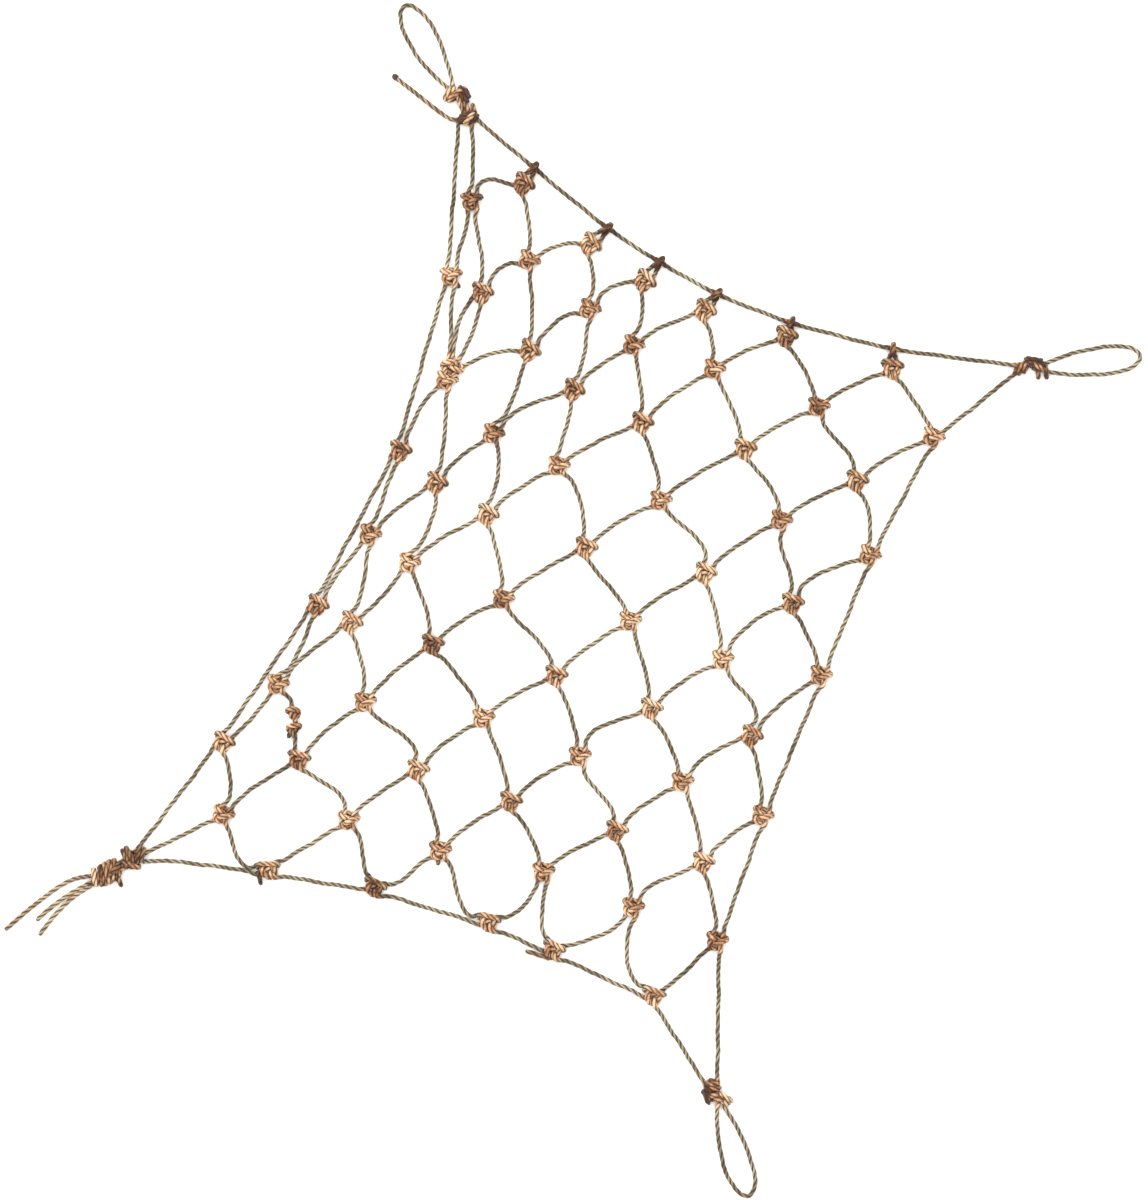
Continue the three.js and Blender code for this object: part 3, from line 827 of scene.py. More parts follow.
class Bench:
    """A node tree at work, with one way to make any node."""

    def __init__(self, tree: bpy.types.NodeTree) -> None:
        """Starts on a tree."""
        self.tree = tree

    def node(self, kind: str, settings: dict[str, object] | None = None,
             inputs: dict[str | int, object] | None = None) -> bpy.types.Node:
        """Makes a node.

        Args:
            kind: Its type.
            settings: Its own settings, and a ramp's stops under "stops".
            inputs: The values, wrapped numbers or sockets of its inputs, by name or place.

        Returns:
            The node.
        """
        made = self.tree.nodes.new(kind)
        for name, setting in (settings or {}).items():
            if name == "stops":
                self._set_stops(made.color_ramp.elements, setting)
            else:
                setattr(made, name, setting)
        for name, given in (inputs or {}).items():
            socket = made.inputs[name]
            if isinstance(given, Value):
                given = given.socket
            if isinstance(given, bpy.types.NodeSocket):
                self.tree.links.new(given, socket)
            else:
                socket.default_value = given
        return made

    def _set_stops(self, elements: bpy.types.ColorRampElements, stops: Sequence[tuple[float, Sequence[float]]]) -> None:
        """Sets the stops of a colour ramp."""
        while len(elements) < len(stops):
            elements.new(0.5)
        for element, (position, colour) in zip(elements, stops):
            element.position, element.color = position, (*colour, 1.0)

    def value(self, kind: str, settings: dict[str, object] | None = None,
              inputs: dict[str | int, object] | None = None, output: str | int = 0) -> Value:
        """Makes a node and wraps one of its outputs."""
        return Value(self, self.node(kind, settings, inputs).outputs[output])

    def mix(self, share: "Value | float", one: object, other: object, how: str = "MIX") -> bpy.types.NodeSocket:
        """A mix of two colours."""
        made = self.node("ShaderNodeMix", {"data_type": "RGBA", "blend_type": how}, {0: share, 6: one, 7: other})
        return made.outputs[2]


Colour = tuple[float, float, float]


@dataclass(frozen=True)
class RopeFinish:
    """The finish of a natural brown three-strand rope: dull runs, warmer and brighter knots, with painted shade in the
    grooves between its strands and in the crevices of its knots.

    Attributes:
        name: The material's name.
        run: The colours of a straight run, from dark to light.
        knot: The colours inside a knot, from dark to light.
        groove_shade: The colour of the painted shade down between the strands; crevice_shade is that of the painted
            shade in the knots' crevices and under their higher turns.
        roughness: Of the fibres.
        sheen: How softly the fibres catch the light.
    """

    name: str
    run: tuple[Colour, Colour, Colour] = ((0.050, 0.034, 0.019), (0.176, 0.135, 0.083), (0.388, 0.322, 0.221))
    knot: tuple[Colour, Colour, Colour] = ((0.076, 0.028, 0.010), (0.380, 0.178, 0.080), (0.770, 0.510, 0.318))
    groove_shade: Colour = (0.020, 0.014, 0.009)
    crevice_shade: Colour = (0.034, 0.013, 0.006)
    roughness: float = 0.78
    sheen: float = 0.12

    def material(self) -> bpy.types.Material:
        """Makes the material."""
        made = bpy.data.materials.new(self.name)
        made.use_nodes = True
        made.node_tree.nodes.clear()
        bench = Bench(made.node_tree)
        attribute = lambda name, output: bench.value("ShaderNodeAttribute", {"attribute_name": name}, {}, output)
        lobe, warmth, tone = attribute("lobe", "Fac"), attribute("warmth", "Fac"), attribute("tone", "Fac")
        crevice_and_under_shade = attribute("crevice_and_under_shade", "Fac")
        fibre_place = attribute("fibre", "Vector")
        fibre = bench.value("ShaderNodeTexNoise", {}, {"Vector": fibre_place, "Scale": 1.0, "Detail": 4.0, "Roughness": 0.6})
        position = bench.value("ShaderNodeTexCoord", {}, {}, "Object")
        patch = bench.value("ShaderNodeTexNoise", {}, {"Vector": position, "Scale": 55.0, "Detail": 3.0})
        wide = bench.value("ShaderNodeTexNoise", {}, {"Vector": position, "Scale": 9.0, "Detail": 2.0})
        blot = bench.value("ShaderNodeTexNoise", {}, {"Vector": position, "Scale": 190.0, "Detail": 2.0})
        # The lobe term is painted shading: lighter on the crests of the strands, darker towards their grooves. The
        # noise terms and tone are the rope's own uneven colour.
        light = (0.50 * (fibre - 0.5) + 1.25 * (patch - 0.5) + 0.9 * (wide - 0.5) + 0.25 * tone
                 + 0.30 * (lobe - 0.5) + (0.15 + 0.85 * warmth) * (blot - 0.5) + 0.52).clamped()
        ramp = lambda colours: bench.node(
            "ShaderNodeValToRGB", {"stops": list(zip((0.12, 0.5, 0.88), colours))}, {0: light}).outputs[0]
        colour = bench.mix(warmth.clamped(), ramp(self.run), ramp(self.knot))
        # Painted shade: the grooves between the strands are darkened in the colour, less inside knots and unevenly
        # along the rope.
        down = (1 - lobe.band(0.28, 0.95)) * (0.95 - 0.30 * warmth) * (0.45 + 1.05 * patch)
        colour = bench.mix(down.clamped(), colour, (*self.groove_shade, 1.0))
        # Painted shade: dark in the crevices between touching turns and under the higher turns of the knots.
        colour = bench.mix((crevice_and_under_shade * 0.92).clamped(), colour, (*self.crevice_shade, 1.0))
        relief = (fibre * 0.6 + patch * 0.25) * 0.0006
        bump = bench.node("ShaderNodeBump", {}, {"Strength": 0.8, "Distance": 1.0, "Height": relief})
        rough = (self.roughness + 0.14 * (fibre - 0.5)).clamped()
        shader = bench.node("ShaderNodeBsdfPrincipled", {}, {
            "Base Color": colour, "Roughness": rough, "Normal": bump.outputs[0],
            "Sheen Weight": self.sheen, "Sheen Roughness": 0.5, "Specular IOR Level": 0.3})
        bench.node("ShaderNodeOutputMaterial", {}, {0: shader.outputs[0]})
        return made


@dataclass
class RopeWalk:
    """Lays three-strand rope along lines, with one Geometry Nodes tree for all of it.

    Attributes:
        step: Distance between two rings.
        sides: Points round a ring.
        pitch: Length in which a strand goes once round.
        depth: How far the section's grooves go in, as a share of the radius.
        swelling: How much thicker the rope is where it is bent in a knot.
    """

    step: float = 0.0016
    sides: int = 18
    pitch: float = 0.026
    depth: float = 0.38
    swelling: float = 0.2

    def __post_init__(self) -> None:
        """Builds the tree."""
        self.tree = bpy.data.node_groups.new("rope_walk", "GeometryNodeTree")
        face = self.tree.interface
        face.new_socket("Lines", in_out="INPUT", socket_type="NodeSocketGeometry")
        sizes = (("Step", "NodeSocketFloat", self.step), ("Sides", "NodeSocketInt", self.sides),
                 ("Pitch", "NodeSocketFloat", self.pitch), ("Groove Depth", "NodeSocketFloat", self.depth),
                 ("Unevenness", "NodeSocketFloat", 0.06), ("Finish", "NodeSocketMaterial", None))
        self.sockets = {}
        for name, kind, given in sizes:
            self.sockets[name] = (face.new_socket(name, in_out="INPUT", socket_type=kind).identifier, given)
        face.new_socket("Rope", in_out="OUTPUT", socket_type="NodeSocketGeometry")
        self._lay_out(Bench(self.tree))

    def _lay_out(self, bench: Bench) -> None:
        """Makes the nodes: a twisted curve, its section and the sweep."""
        given = bench.node("NodeGroupInput").outputs
        named = lambda name: bench.value("GeometryNodeInputNamedAttribute", {"data_type": "FLOAT"}, {"Name": name})
        curve = bench.node("GeometryNodeMeshToCurve", {}, {0: given["Lines"]})
        curve = bench.node("GeometryNodeResampleCurve", {"mode": "LENGTH"}, {"Curve": curve.outputs[0], "Length": given["Step"]})
        far = bench.value("GeometryNodeSplineParameter", {}, {}, "Length")
        along = named("along")
        slow = bench.value("ShaderNodeTexNoise", {"noise_dimensions": "1D"}, {"W": along * 14.0, "Scale": 1.0, "Detail": 1.0})
        quick = bench.value("ShaderNodeTexNoise", {"noise_dimensions": "1D"}, {"W": along * 90.0 + 40.0, "Scale": 1.0, "Detail": 1.0})
        turn = along / Value(bench, given["Pitch"]) * (2 * math.pi) + (slow - 0.5) * 5.0
        curve = bench.node("GeometryNodeSetCurveTilt", {}, {"Curve": curve.outputs[0], "Tilt": turn})
        section = bench.node("GeometryNodeCurvePrimitiveCircle", {}, {"Resolution": given["Sides"], "Radius": 1.0})
        spot = bench.node("GeometryNodeInputPosition").outputs[0]
        parts = bench.node("ShaderNodeSeparateXYZ", {}, {0: spot}).outputs
        angle = Value(bench, parts[1]).function("ARCTAN2", Value(bench, parts[0]))
        lobe = (angle * 1.5).function("COSINE").function("ABSOLUTE") ** 0.62
        out = 1 - Value(bench, given["Groove Depth"]) * (1 - lobe)
        section = self._store(bench, section.outputs[0], "lobe", lobe)
        scaled = bench.node("ShaderNodeVectorMath", {"operation": "SCALE"}, {0: spot, "Scale": out})
        section = bench.node("GeometryNodeSetPosition", {}, {0: section, "Position": scaled.outputs[0]})
        section = self._store(bench, section.outputs[0], "spot", scaled.outputs[0], "FLOAT_VECTOR")
        girth = named("girth") * (1 + (quick - 0.5) * Value(bench, given["Unevenness"]))
        swept = bench.node("GeometryNodeCurveToMesh", {}, {
            "Curve": curve.outputs[0], "Profile Curve": section, "Scale": girth, "Fill Caps": True})
        stored = bench.node("GeometryNodeInputNamedAttribute", {"data_type": "FLOAT_VECTOR"}, {"Name": "spot"}).outputs[0]
        across = bench.node("ShaderNodeVectorMath", {"operation": "SCALE"}, {0: stored, "Scale": 9.0}).outputs[0]
        lengthwise = bench.node("ShaderNodeCombineXYZ", {}, {2: along * 190.0}).outputs[0]
        fibre = bench.node("ShaderNodeVectorMath", {"operation": "ADD"}, {0: across, 1: lengthwise}).outputs[0]
        mesh = self._store(bench, swept.outputs[0], "fibre", fibre, "FLOAT_VECTOR")
        mesh = bench.node("GeometryNodeSetShadeSmooth", {}, {0: mesh, "Shade Smooth": True}).outputs[0]
        mesh = bench.node("GeometryNodeRealizeInstances", {}, {0: mesh}).outputs[0]
        mesh = bench.node("GeometryNodeSetMaterial", {}, {0: mesh, "Material": given["Finish"]}).outputs[0]
        bench.node("NodeGroupOutput", {}, {0: mesh})
        del far

    def _store(self, bench: Bench, geometry: bpy.types.NodeSocket, name: str, value: object,
               kind: str = "FLOAT") -> bpy.types.NodeSocket:
        """Stores a named attribute on the points of a geometry."""
        return bench.node("GeometryNodeStoreNamedAttribute", {"data_type": kind, "domain": "POINT"},
                          {"Geometry": geometry, "Name": name, "Value": value}).outputs[0]

    def lay(self, name: str, runs: Sequence[Run], finish: bpy.types.Material) -> bpy.types.Object:
        """Makes one piece out of lengths of rope.

        Args:
            name: The piece's name.
            runs: Its lengths of rope.
            finish: Its material.

        Returns:
            The piece, as a plain mesh at the origin.
        """
        lines = self._lines(name, runs)
        carrier = bpy.data.objects.new(name + "_lines", lines)
        bpy.context.scene.collection.objects.link(carrier)
        modifier = carrier.modifiers.new("rope_walk", "NODES")
        modifier.node_group = self.tree
        for identifier, given in self.sockets.values():
            modifier[identifier] = finish if given is None else given
        done = carrier.evaluated_get(bpy.context.evaluated_depsgraph_get())
        mesh = bpy.data.meshes.new_from_object(done)
        carrier.modifiers.remove(modifier)
        bpy.data.objects.remove(carrier)
        bpy.data.meshes.remove(lines)
        mesh.name = name
        piece = bpy.data.objects.new(name, mesh)
        bpy.context.scene.collection.objects.link(piece)
        return piece

    def _lines(self, name: str, runs: Sequence[Run]) -> bpy.types.Mesh:
        """A mesh of edges along the runs, with their looks as attributes."""
        points = np.vstack([run.line for run in runs])
        counts = [len(run.line) for run in runs]
        starts = np.cumsum([0, *counts[:-1]])
        edges = np.vstack([np.column_stack([np.arange(s, s + n - 1), np.arange(s + 1, s + n)])
                           for s, n in zip(starts, counts)])
        mesh = bpy.data.meshes.new(name + "_lines")
        mesh.from_pydata(points.tolist(), edges.tolist(), [])
        looks = {
            "warmth": np.concatenate([run.warmth for run in runs]),
            "tone": np.concatenate([run.tone for run in runs]),
            "along": np.concatenate([lengths_along(run.line) + 0.37 * i for i, run in enumerate(runs)]),
            "place": np.concatenate([lengths_along(run.line) for run in runs]),
            "number": np.concatenate([np.full(len(run.line), run.number) for run in runs]),
            "girth": np.concatenate([self._girth(run) for run in runs]),
        }
        for key, values in looks.items():
            mesh.attributes.new(key, "FLOAT", "POINT").data.foreach_set("value", values.astype(np.float32))
        return mesh

    def _girth(self, run: Run) -> np.ndarray:
        """The radius along a run, drawn in a little at a cut end."""
        far = lengths_along(run.line)
        girth = run.radius * (1 + self.swelling * run.warmth)
        for is_cut, away in zip(run.cut, (far, far[-1] - far)):
            if is_cut:
                girth *= 0.72 + 0.28 * eased(away / 0.0022)
        return girth


# The sub-assemblies.


@dataclass
class Net:
    """All the rope of the net, tied and joined, before it is swept.

    Attributes:
        plan: Where everything lies.
        bend: Ties the knots.
    """

    plan: Plan
    bend: SheetBend

    def __post_init__(self) -> None:
        """Ties the knots and joins the links."""
        self.rng = np.random.default_rng(SEED)
        self.links: list[Link] = []
        self.centres: dict[KnotName, np.ndarray] = dict(self.plan.knots)
        self.reach_points: dict[Label, np.ndarray] = {}
        self.owners: dict[Label, str] = {}
        for corner, centre in CORNER_AT.items():
            self.centres[corner.value] = np.array(centre)
        self._lay_strands()
        self._lay_edges()
        self._lay_hangers()
        self._lay_corners()
        self._tie()

    def _reach(self, name: KnotName) -> float:
        """How far a knot reaches along its ropes."""
        return {TIE: 24.0}.get(name, 4.0 if isinstance(name, str) else self.plan.reach)

    def _add(self, line: Line, begins: Label | None, ends: Label | None, rope: str) -> None:
        """Adds a link between two knots, cut where it enters them."""
        starts = self.centres[begins[0]] if begins else None
        stops = self.centres[ends[0]] if ends else None
        reaches = (self._reach(begins[0]) if begins else 0, self._reach(ends[0]) if ends else 0)
        line = self.plan.trim(line, starts, stops, reaches)
        for label, point in ((begins, line[0]), (ends, line[-1])):
            if label:
                self.reach_points[label] = point
                self.owners[label] = rope
        self.links.append(Link(line, (begins, ends), rope))

    def _lay_strands(self) -> None:
        """Lays the twine between the knots."""
        for strand in self.plan.strands:
            line = self.plan.strand_line(strand)
            if (strand.begins[0], strand.ends[0]) == (MENDED, (MENDED[0] + 1, MENDED[1])):
                line = self._mended(line)
            self._add(line, strand.begins, strand.ends, NETTING)

    def _mended(self, line: Line) -> Line:
        """Puts the two small knots of a mend into a strand."""
        at = int(np.argmin(np.linalg.norm(line[:, :2] - MEND_AT, axis=1)))
        ahead = unit(line[at + 3] - line[at - 3])
        side = np.array([-ahead[1], ahead[0], 0.0])
        up = np.array([0.0, 0.0, 1.0])
        d = self.plan.twine
        far = lengths_along(line)
        before, after = line[far < far[at] - 3.2 * d], line[far > far[at] + 3.0 * d]
        middle = np.array([*line[at][:2], 1.35 * d])
        path = [middle + d * (x * ahead + y * side + z * up) for x, y, z in self._overhands()]
        tied = self.bend.tyer.tie([evenly(rounded([before[-1], *path, after[0]]), 110)[None] / d], 130,
                                  floor=0.66)[0][0] * d
        return np.vstack([before[:-1], tied, after[1:]])

    def _overhands(self) -> list[tuple[float, float, float]]:
        """Two overhand knots in a row, as a raw path in diameters."""
        one = [(-2.4, 0.0, 0.0), (-1.2, -0.5, 0.9), (0.3, -0.9, 0.7), (1.0, 0.2, 0.0), (0.3, 1.1, -0.7),
               (-0.9, 1.2, 0.1), (-1.5, 0.3, 1.9), (-1.2, -1.3, 1.0), (-0.4, -1.5, -0.6), (0.0, -0.2, -1.2),
               (0.2, 0.6, 0.0), (0.6, 0.5, 1.2), (1.6, 0.0, 0.6)]
        return [(x * 0.9 - 1.1, y, z) for x, y, z in one] + [(x * 0.8 + 2.4, -y, z) for x, y, z in one[1:]]

    def _stations(self, edge: Edge) -> list[KnotName]:
        """The knots that an edge rope passes, in its own order."""
        if edge is Edge.RIGHT:
            return [(c.number, c.first + c.count - 1) for c in COURSES if c.number > 0]
        if edge is Edge.BOTTOM:
            return [(c.number, c.first) for c in COURSES if c.number > 0]
        return [TIE, *((c.number, c.first) for c in COURSES if -4 < c.number < 0)]

    def _lay_edges(self) -> None:
        """Lays the edge ropes: the top one whole, the others from knot to knot."""
        for plan in EDGE_PLANS:
            if plan.edge is Edge.TOP:
                self._lay_top(plan)
                continue
            names = self._stations(plan.edge)
            came_in, goes_out = EDGE_ARMS[plan.edge]
            stops = [np.array(plan.start), *(self.centres[n] + plan.outside for n in names), np.array(plan.finish)]
            labels = [plan.begins, *((n, came_in) for n in names), plan.ends]
            outs = [plan.begins, *((n, goes_out) for n in names)]
            for i in range(len(stops) - 1):
                points = [stops[i], *(map(np.array, plan.aside) if i == 0 else ()), stops[i + 1]]
                line = rounded(points) if len(points) > 2 else np.array(points)
                line = self.plan.waver(evenly(line, max(12, int(np.linalg.norm(stops[i + 1] - stops[i]) / 1.5))), 0.4)
                line = self.plan.lift(line, self.plan.rope, (stops[i], stops[i + 1]))
                self._add(line, outs[i], labels[i + 1], plan.edge.value)

    def _lay_top(self, plan: EdgePlan) -> None:
        """Lays the top rope through the bights that hang the top row on it."""
        stations = [self.plan.knots[(c, k)] + (right, up) for c, k, right, up in HANGERS]
        stops = [np.array(plan.start), *(s + plan.outside for s in stations), np.array(plan.finish)]
        spans = [self.plan.waver(evenly(np.array([a, b]), max(8, int(np.linalg.norm(b - a) / 1.5))), 0.4)[:-1]
                 for a, b in zip(stops[:-1], stops[1:])]
        line = np.vstack([*spans, stops[-1][None]])
        for _ in range(30):
            line[1:-1] = 0.25 * line[:-2] + 0.5 * line[1:-1] + 0.25 * line[2:]
        lifted = self.plan.lift(line, self.plan.rope, (stops[0], stops[-1]))
        for stop in stops[1:-1]:
            away = np.linalg.norm(line - stop, axis=1)
            lifted[:, 2] += 5.9 * np.exp(-((away / 13.0) ** 2))
        self._add(lifted, plan.begins, plan.ends, plan.edge.value)

    def _lay_hangers(self) -> None:
        """Lays the small bights from the top row's knots over and round the top rope."""
        outside = next(plan.outside for plan in EDGE_PLANS if plan.edge is Edge.TOP)
        for c, k, right, up in HANGERS:
            knot = self.plan.knots[(c, k)]
            station = knot + (right, up) + np.array(outside) * 0.8
            ahead = unit(station - knot)
            side = np.array([ahead[1], -ahead[0]])
            gap = np.linalg.norm(station - knot)
            start = max(gap - 7.0, 12.0) - gap
            shape = [(start, -2.6, 6.8), (-5.4, -2.0, 11.8), (-1.5, -1.2, 14.2), (2.4, -0.8, 13.6), (5.4, -0.4, 11.0),
                     (6.3, 0.0, 8.6), (5.2, 0.4, 6.0), (1.5, 1.0, 4.0), (-3.0, 2.0, 3.9), (start, 2.6, 5.4)]
            points = [(*(station + ahead * u + side * v), z) for u, v, z in shape]
            line = rounded(points, 8)
            labels = (((c, k), Arm.UPPER_LEFT), ((c, k), Arm.UPPER_RIGHT))
            for label, point in zip(labels, (line[0], line[-1])):
                self.reach_points[label], self.owners[label] = point, NETTING
            self.links.append(Link(line, labels, NETTING))

    def _bezier(self, corners: Sequence[tuple[float, float]]) -> Line:
        """The line of an eye in the plane."""
        a, b, c, d = (np.array(p, float) for p in corners)
        t = np.linspace(0, 1, 240)[:, None]
        plan = (1 - t) ** 3 * a + 3 * (1 - t) ** 2 * t * b + 3 * (1 - t) * t**2 * c + t**3 * d
        return evenly(plan, int(lengths_along(plan)[-1] / 1.5))

    def _lay_corners(self) -> None:
        """Lays the eyes, the necks and the free ends of the corners."""
        for corner, shape in EYES.items():
            plan = self.plan.waver(self._bezier(shape), 0.4)
            root = np.array(EYE_ROOTS[corner])
            line = self.plan.lift(np.vstack([root, plan, root]), self.plan.rope, (plan[0], plan[-1]))
            self.links.append(Link(self._smoothed(line, [1, len(line) - 1]), (None, None), "eye_" + corner.value))
        for corner, necks in NECKS.items():
            for points in necks:
                line = rounded([(*point, self.plan.rise) for point in points])
                self.links.append(Link(line, (None, None), "corner_knot_" + corner.value))
        for corner, ends in FREE_ENDS.items():
            for points in ends:
                line = rounded(points)
                line = evenly(line, int(lengths_along(line)[-1] / 1.5))
                held = CORNER_AT[corner] if corner is Corner.TOP_LEFT else points[0]
                line = self.plan.lift(line, self.plan.rope, (np.array(held, float),))
                self.links.append(Link(line, (None, None), "corner_knot_" + corner.value))

    def _tie(self) -> None:
        """Ties every knot between the ropes that reach it."""
        four = (Arm.UPPER_LEFT, Arm.UPPER_RIGHT, Arm.LOWER_LEFT, Arm.LOWER_RIGHT)
        plain, turned = [], []
        for name in self.plan.knots:
            arms = {arm: self.reach_points[(name, arm)] for arm in Arm if (name, arm) in self.reach_points}
            missing = [arm for arm in four if arm not in arms]
            if missing:
                raise ValueError(f"knot {name} has no rope at {missing}")
            owners = {arm: self.owners[(name, arm)] for arm in arms}
            back = sum(name) % 2 == 0 if isinstance(name, tuple) else False
            place = BendPlace(name, self.plan.knots[name], arms, owners, back, self.plan.knot, height=self.plan.rise)
            (turned if Arm.TURN_IN in arms else plain).append(place)
        self.links += self.bend.tie_all(plain, self.rng)
        for place in turned:
            self.links += self.bend.tie_turned(place, self.rng)

    def joined(self, rope: str) -> list[tuple[Line, tuple[bool, bool]]]:
        """Joins the links of one piece end to end.

        Args:
            rope: The piece's name.

        Returns:
            Each length of rope with whether its ends are free.
        """
        waiting = [link for link in self.links if link.rope == rope]
        result = []
        while waiting:
            run = waiting.pop(0)
            seams: list[int] = []
            line, ends = run.line, list(run.ends)
            for side in (1, 0):
                grown = True
                while grown and ends[side] is not None:
                    grown = False
                    for i, link in enumerate(waiting):
                        if ends[side] in link.ends:
                            other = waiting.pop(i)
                            if side == 1:
                                other = other if other.ends[0] == ends[1] else other.turned()
                                seams.append(len(line))
                                line, ends[1] = np.vstack([line, other.line[1:]]), other.ends[1]
                            else:
                                other = other if other.ends[1] == ends[0] else other.turned()
                                seams = [len(other.line), *(s + len(other.line) - 1 for s in seams)]
                                line, ends[0] = np.vstack([other.line[:-1], line]), other.ends[0]
                            grown = True
                            break
            result.append((self._smoothed(line, seams), (ends[0] is None, ends[1] is None)))
        return result

    def _smoothed(self, line: Line, seams: list[int]) -> Line:
        """Takes the small corners out of a line where two links meet."""
        line = line.copy()
        free = np.zeros(len(line))
        for seam in seams:
            free[max(seam - 7, 1): seam + 7] = 1
        free[0] = free[-1] = 0
        for _ in range(10):
            line[1:-1] += 0.5 * free[1:-1, None] * (0.5 * (line[:-2] + line[2:]) - line[1:-1])
        return line


@dataclass
class Order:
    """A piece that is to be made: its name, its rope, its slot and the nodes that it stands for."""

    name: str
    runs: list[Run]
    slot: Slot
    nodes: tuple[str, ...]


@dataclass
class Dresser:
    """Turns lengths of rope into dressed pieces.

    Attributes:
        net: The tied net.
        walk: Sweeps the rope.
        finishes: The materials by slot.
        crevice_shade: How far from another turn the painted shade between touching turns reaches.
        own_length: How far along its own rope a turn counts as itself.
        beside: How far aside a higher turn paints shade on what lies lower.
        deep: How far below the top of such a turn the painted shade begins and is full.
        under_shade: How dark that painted shade is.
        shades: The knots that are clearly darker or paler than the others.
    """

    net: Net
    walk: RopeWalk
    finishes: dict[Slot, bpy.types.Material]
    crevice_shade: float = 0.0021
    own_length: float = 0.0085
    beside: float = 0.0045
    deep: tuple[float, float] = (0.003, 0.009)
    under_shade: float = 0.85
    shades: tuple[tuple[float, tuple[KnotName, ...]], ...] = (
        (-1.0, ((2, -2),)),
        (-0.6, ((-5, 0), (-5, 1), (-4, 0), (-4, 1), (-3, -1), (-3, 2), (-1, 5), (0, 6))),
        (0.5, ((-1, 1), (1, 0), (2, 0), (2, 2), (2, 3), (4, 1))),
    )

    def __post_init__(self) -> None:
        """Gives every knot its own tone."""
        rng = np.random.default_rng(SEED + 1)
        hangers = [self.net.plan.knots[(c, k)] + (right, up) for c, k, right, up in HANGERS]
        self.spots = np.array([*self.net.centres.values(), *hangers, *(spot for spot, _ in WARM_SPOTS)])
        self.sizes = np.full(len(self.spots), 13.0)
        self.sizes[len(self.net.centres):] = [*(8.5 for _ in hangers), *(size for _, size in WARM_SPOTS)]
        self.tones = rng.uniform(-0.3, 0.3, len(self.spots))
        self.tones[len(self.net.centres): len(self.net.centres) + len(hangers)] = -2.0
        for i, name in enumerate(self.net.centres):
            for tone, names in self.shades:
                if name in names:
                    self.tones[i] = tone

    def run(self, line: Line, radius: float, ends: tuple[bool, bool], warm: float = 0.0,
            own_tone: float = 0.0) -> Run:
        """One length of rope with its looks: warm inside knots, in the tone of each knot.

        Args:
            line: Its line in the drawing.
            radius: Half its diameter, in millimetres.
            ends: Whether each end is cut.
            warm: How warm it is outside the knots.
            own_tone: How pale or dark it is by itself.

        Returns:
            The run, in metres.
        """
        away = np.linalg.norm(line[:, None, :2] - self.spots[None], axis=2) / self.sizes
        nearest = away.argmin(axis=1)
        least = away[np.arange(len(line)), nearest]
        warmth = np.maximum(1 - eased((least - 0.75) / 0.4), warm)
        tone = self.tones[nearest] * (1 - eased((least - 0.9) / 1.5)) + own_tone
        resting = radius * (1.04 + self.walk.swelling * warmth)
        line = np.column_stack([line[:, :2], np.maximum(line[:, 2], resting)])
        return Run(self.net.plan.metres(line), radius * MM, warmth, tone, ends)

    def make(self, orders: list[Order]) -> list[bpy.types.Object]:
        """Makes pieces, and says what each rides on and stands for.

        Args:
            orders: The pieces, all that touch each other among them.

        Returns:
            The pieces.
        """
        runs = [run for order in orders for run in order.runs]
        for number, run in enumerate(runs):
            run.number = number
        beads = np.vstack([run.line for run in runs])
        marks = np.vstack([np.column_stack([np.full(len(run.line), run.number), lengths_along(run.line),
                                            np.full(len(run.line), run.radius)]) for run in runs])
        pieces = []
        for order in orders:
            made = self.walk.lay(order.name, order.runs, self.finishes[order.slot])
            self._paint_crevice_shade(made.data, beads, marks)
            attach(made, "root")
            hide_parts(*order.nodes)
            log.info("%s: %d lengths of rope, %.2f m, %d faces, lowest %.2f mm", order.name, len(order.runs),
                     sum(lengths_along(run.line)[-1] for run in order.runs), len(made.data.polygons),
                     min(vertex.co.z for vertex in made.data.vertices) / MM)
            pieces.append(made)
        return pieces

    def _paint_crevice_shade(self, mesh: bpy.types.Mesh, beads: np.ndarray, marks: np.ndarray) -> None:
        """Stores painted shade for each point in the knots: dark near another turn of rope and below higher turns
        beside it.
        """
        count = len(mesh.vertices)
        spots = np.zeros((count, 3), np.float32)
        mesh.vertices.foreach_get("co", spots.reshape(-1))
        number, place = np.zeros(count, np.float32), np.zeros(count, np.float32)
        mesh.attributes["number"].data.foreach_get("value", number)
        mesh.attributes["place"].data.foreach_get("value", place)
        crevice_and_under_shade = np.zeros(count, np.float32)
        for spot, size in zip(self.spots, self.sizes):
            centre = self.net.plan.metres(np.array([*spot, 0.0]))[:2]
            mine = np.nonzero(np.linalg.norm(spots[:, :2] - centre, axis=1) < size * 1.35 * MM)[0]
            if not len(mine):
                continue
            near = np.linalg.norm(beads[:, :2] - centre, axis=1) < size * 1.6 * MM
            around, facts = beads[near], marks[near]
            gap = np.linalg.norm(spots[mine][:, None] - around[None], axis=2) - facts[None, :, 2]
            own = (np.abs(number[mine][:, None] - facts[None, :, 0]) < 0.5) & (
                np.abs(place[mine][:, None] - facts[None, :, 1]) < self.own_length)
            gap[own] = 1.0
            beside = np.linalg.norm(spots[mine][:, None, :2] - around[None, :, :2], axis=2)
            above = np.where((beside < self.beside) & ~own, around[None, :, 2] + facts[None, :, 2], 0.0).max(axis=1)
            # Painted shade under a higher turn beside the point, and in the gap next to another turn.
            below = eased((above - spots[mine][:, 2] - self.deep[0]) / (self.deep[1] - self.deep[0]))
            near_turn = 1 - eased(gap.min(axis=1) / self.crevice_shade)
            crevice_and_under_shade[mine] = np.maximum.reduce([crevice_and_under_shade[mine], near_turn, self.under_shade * below])
        mesh.attributes.new("crevice_and_under_shade", "FLOAT", "POINT").data.foreach_set("value", crevice_and_under_shade)


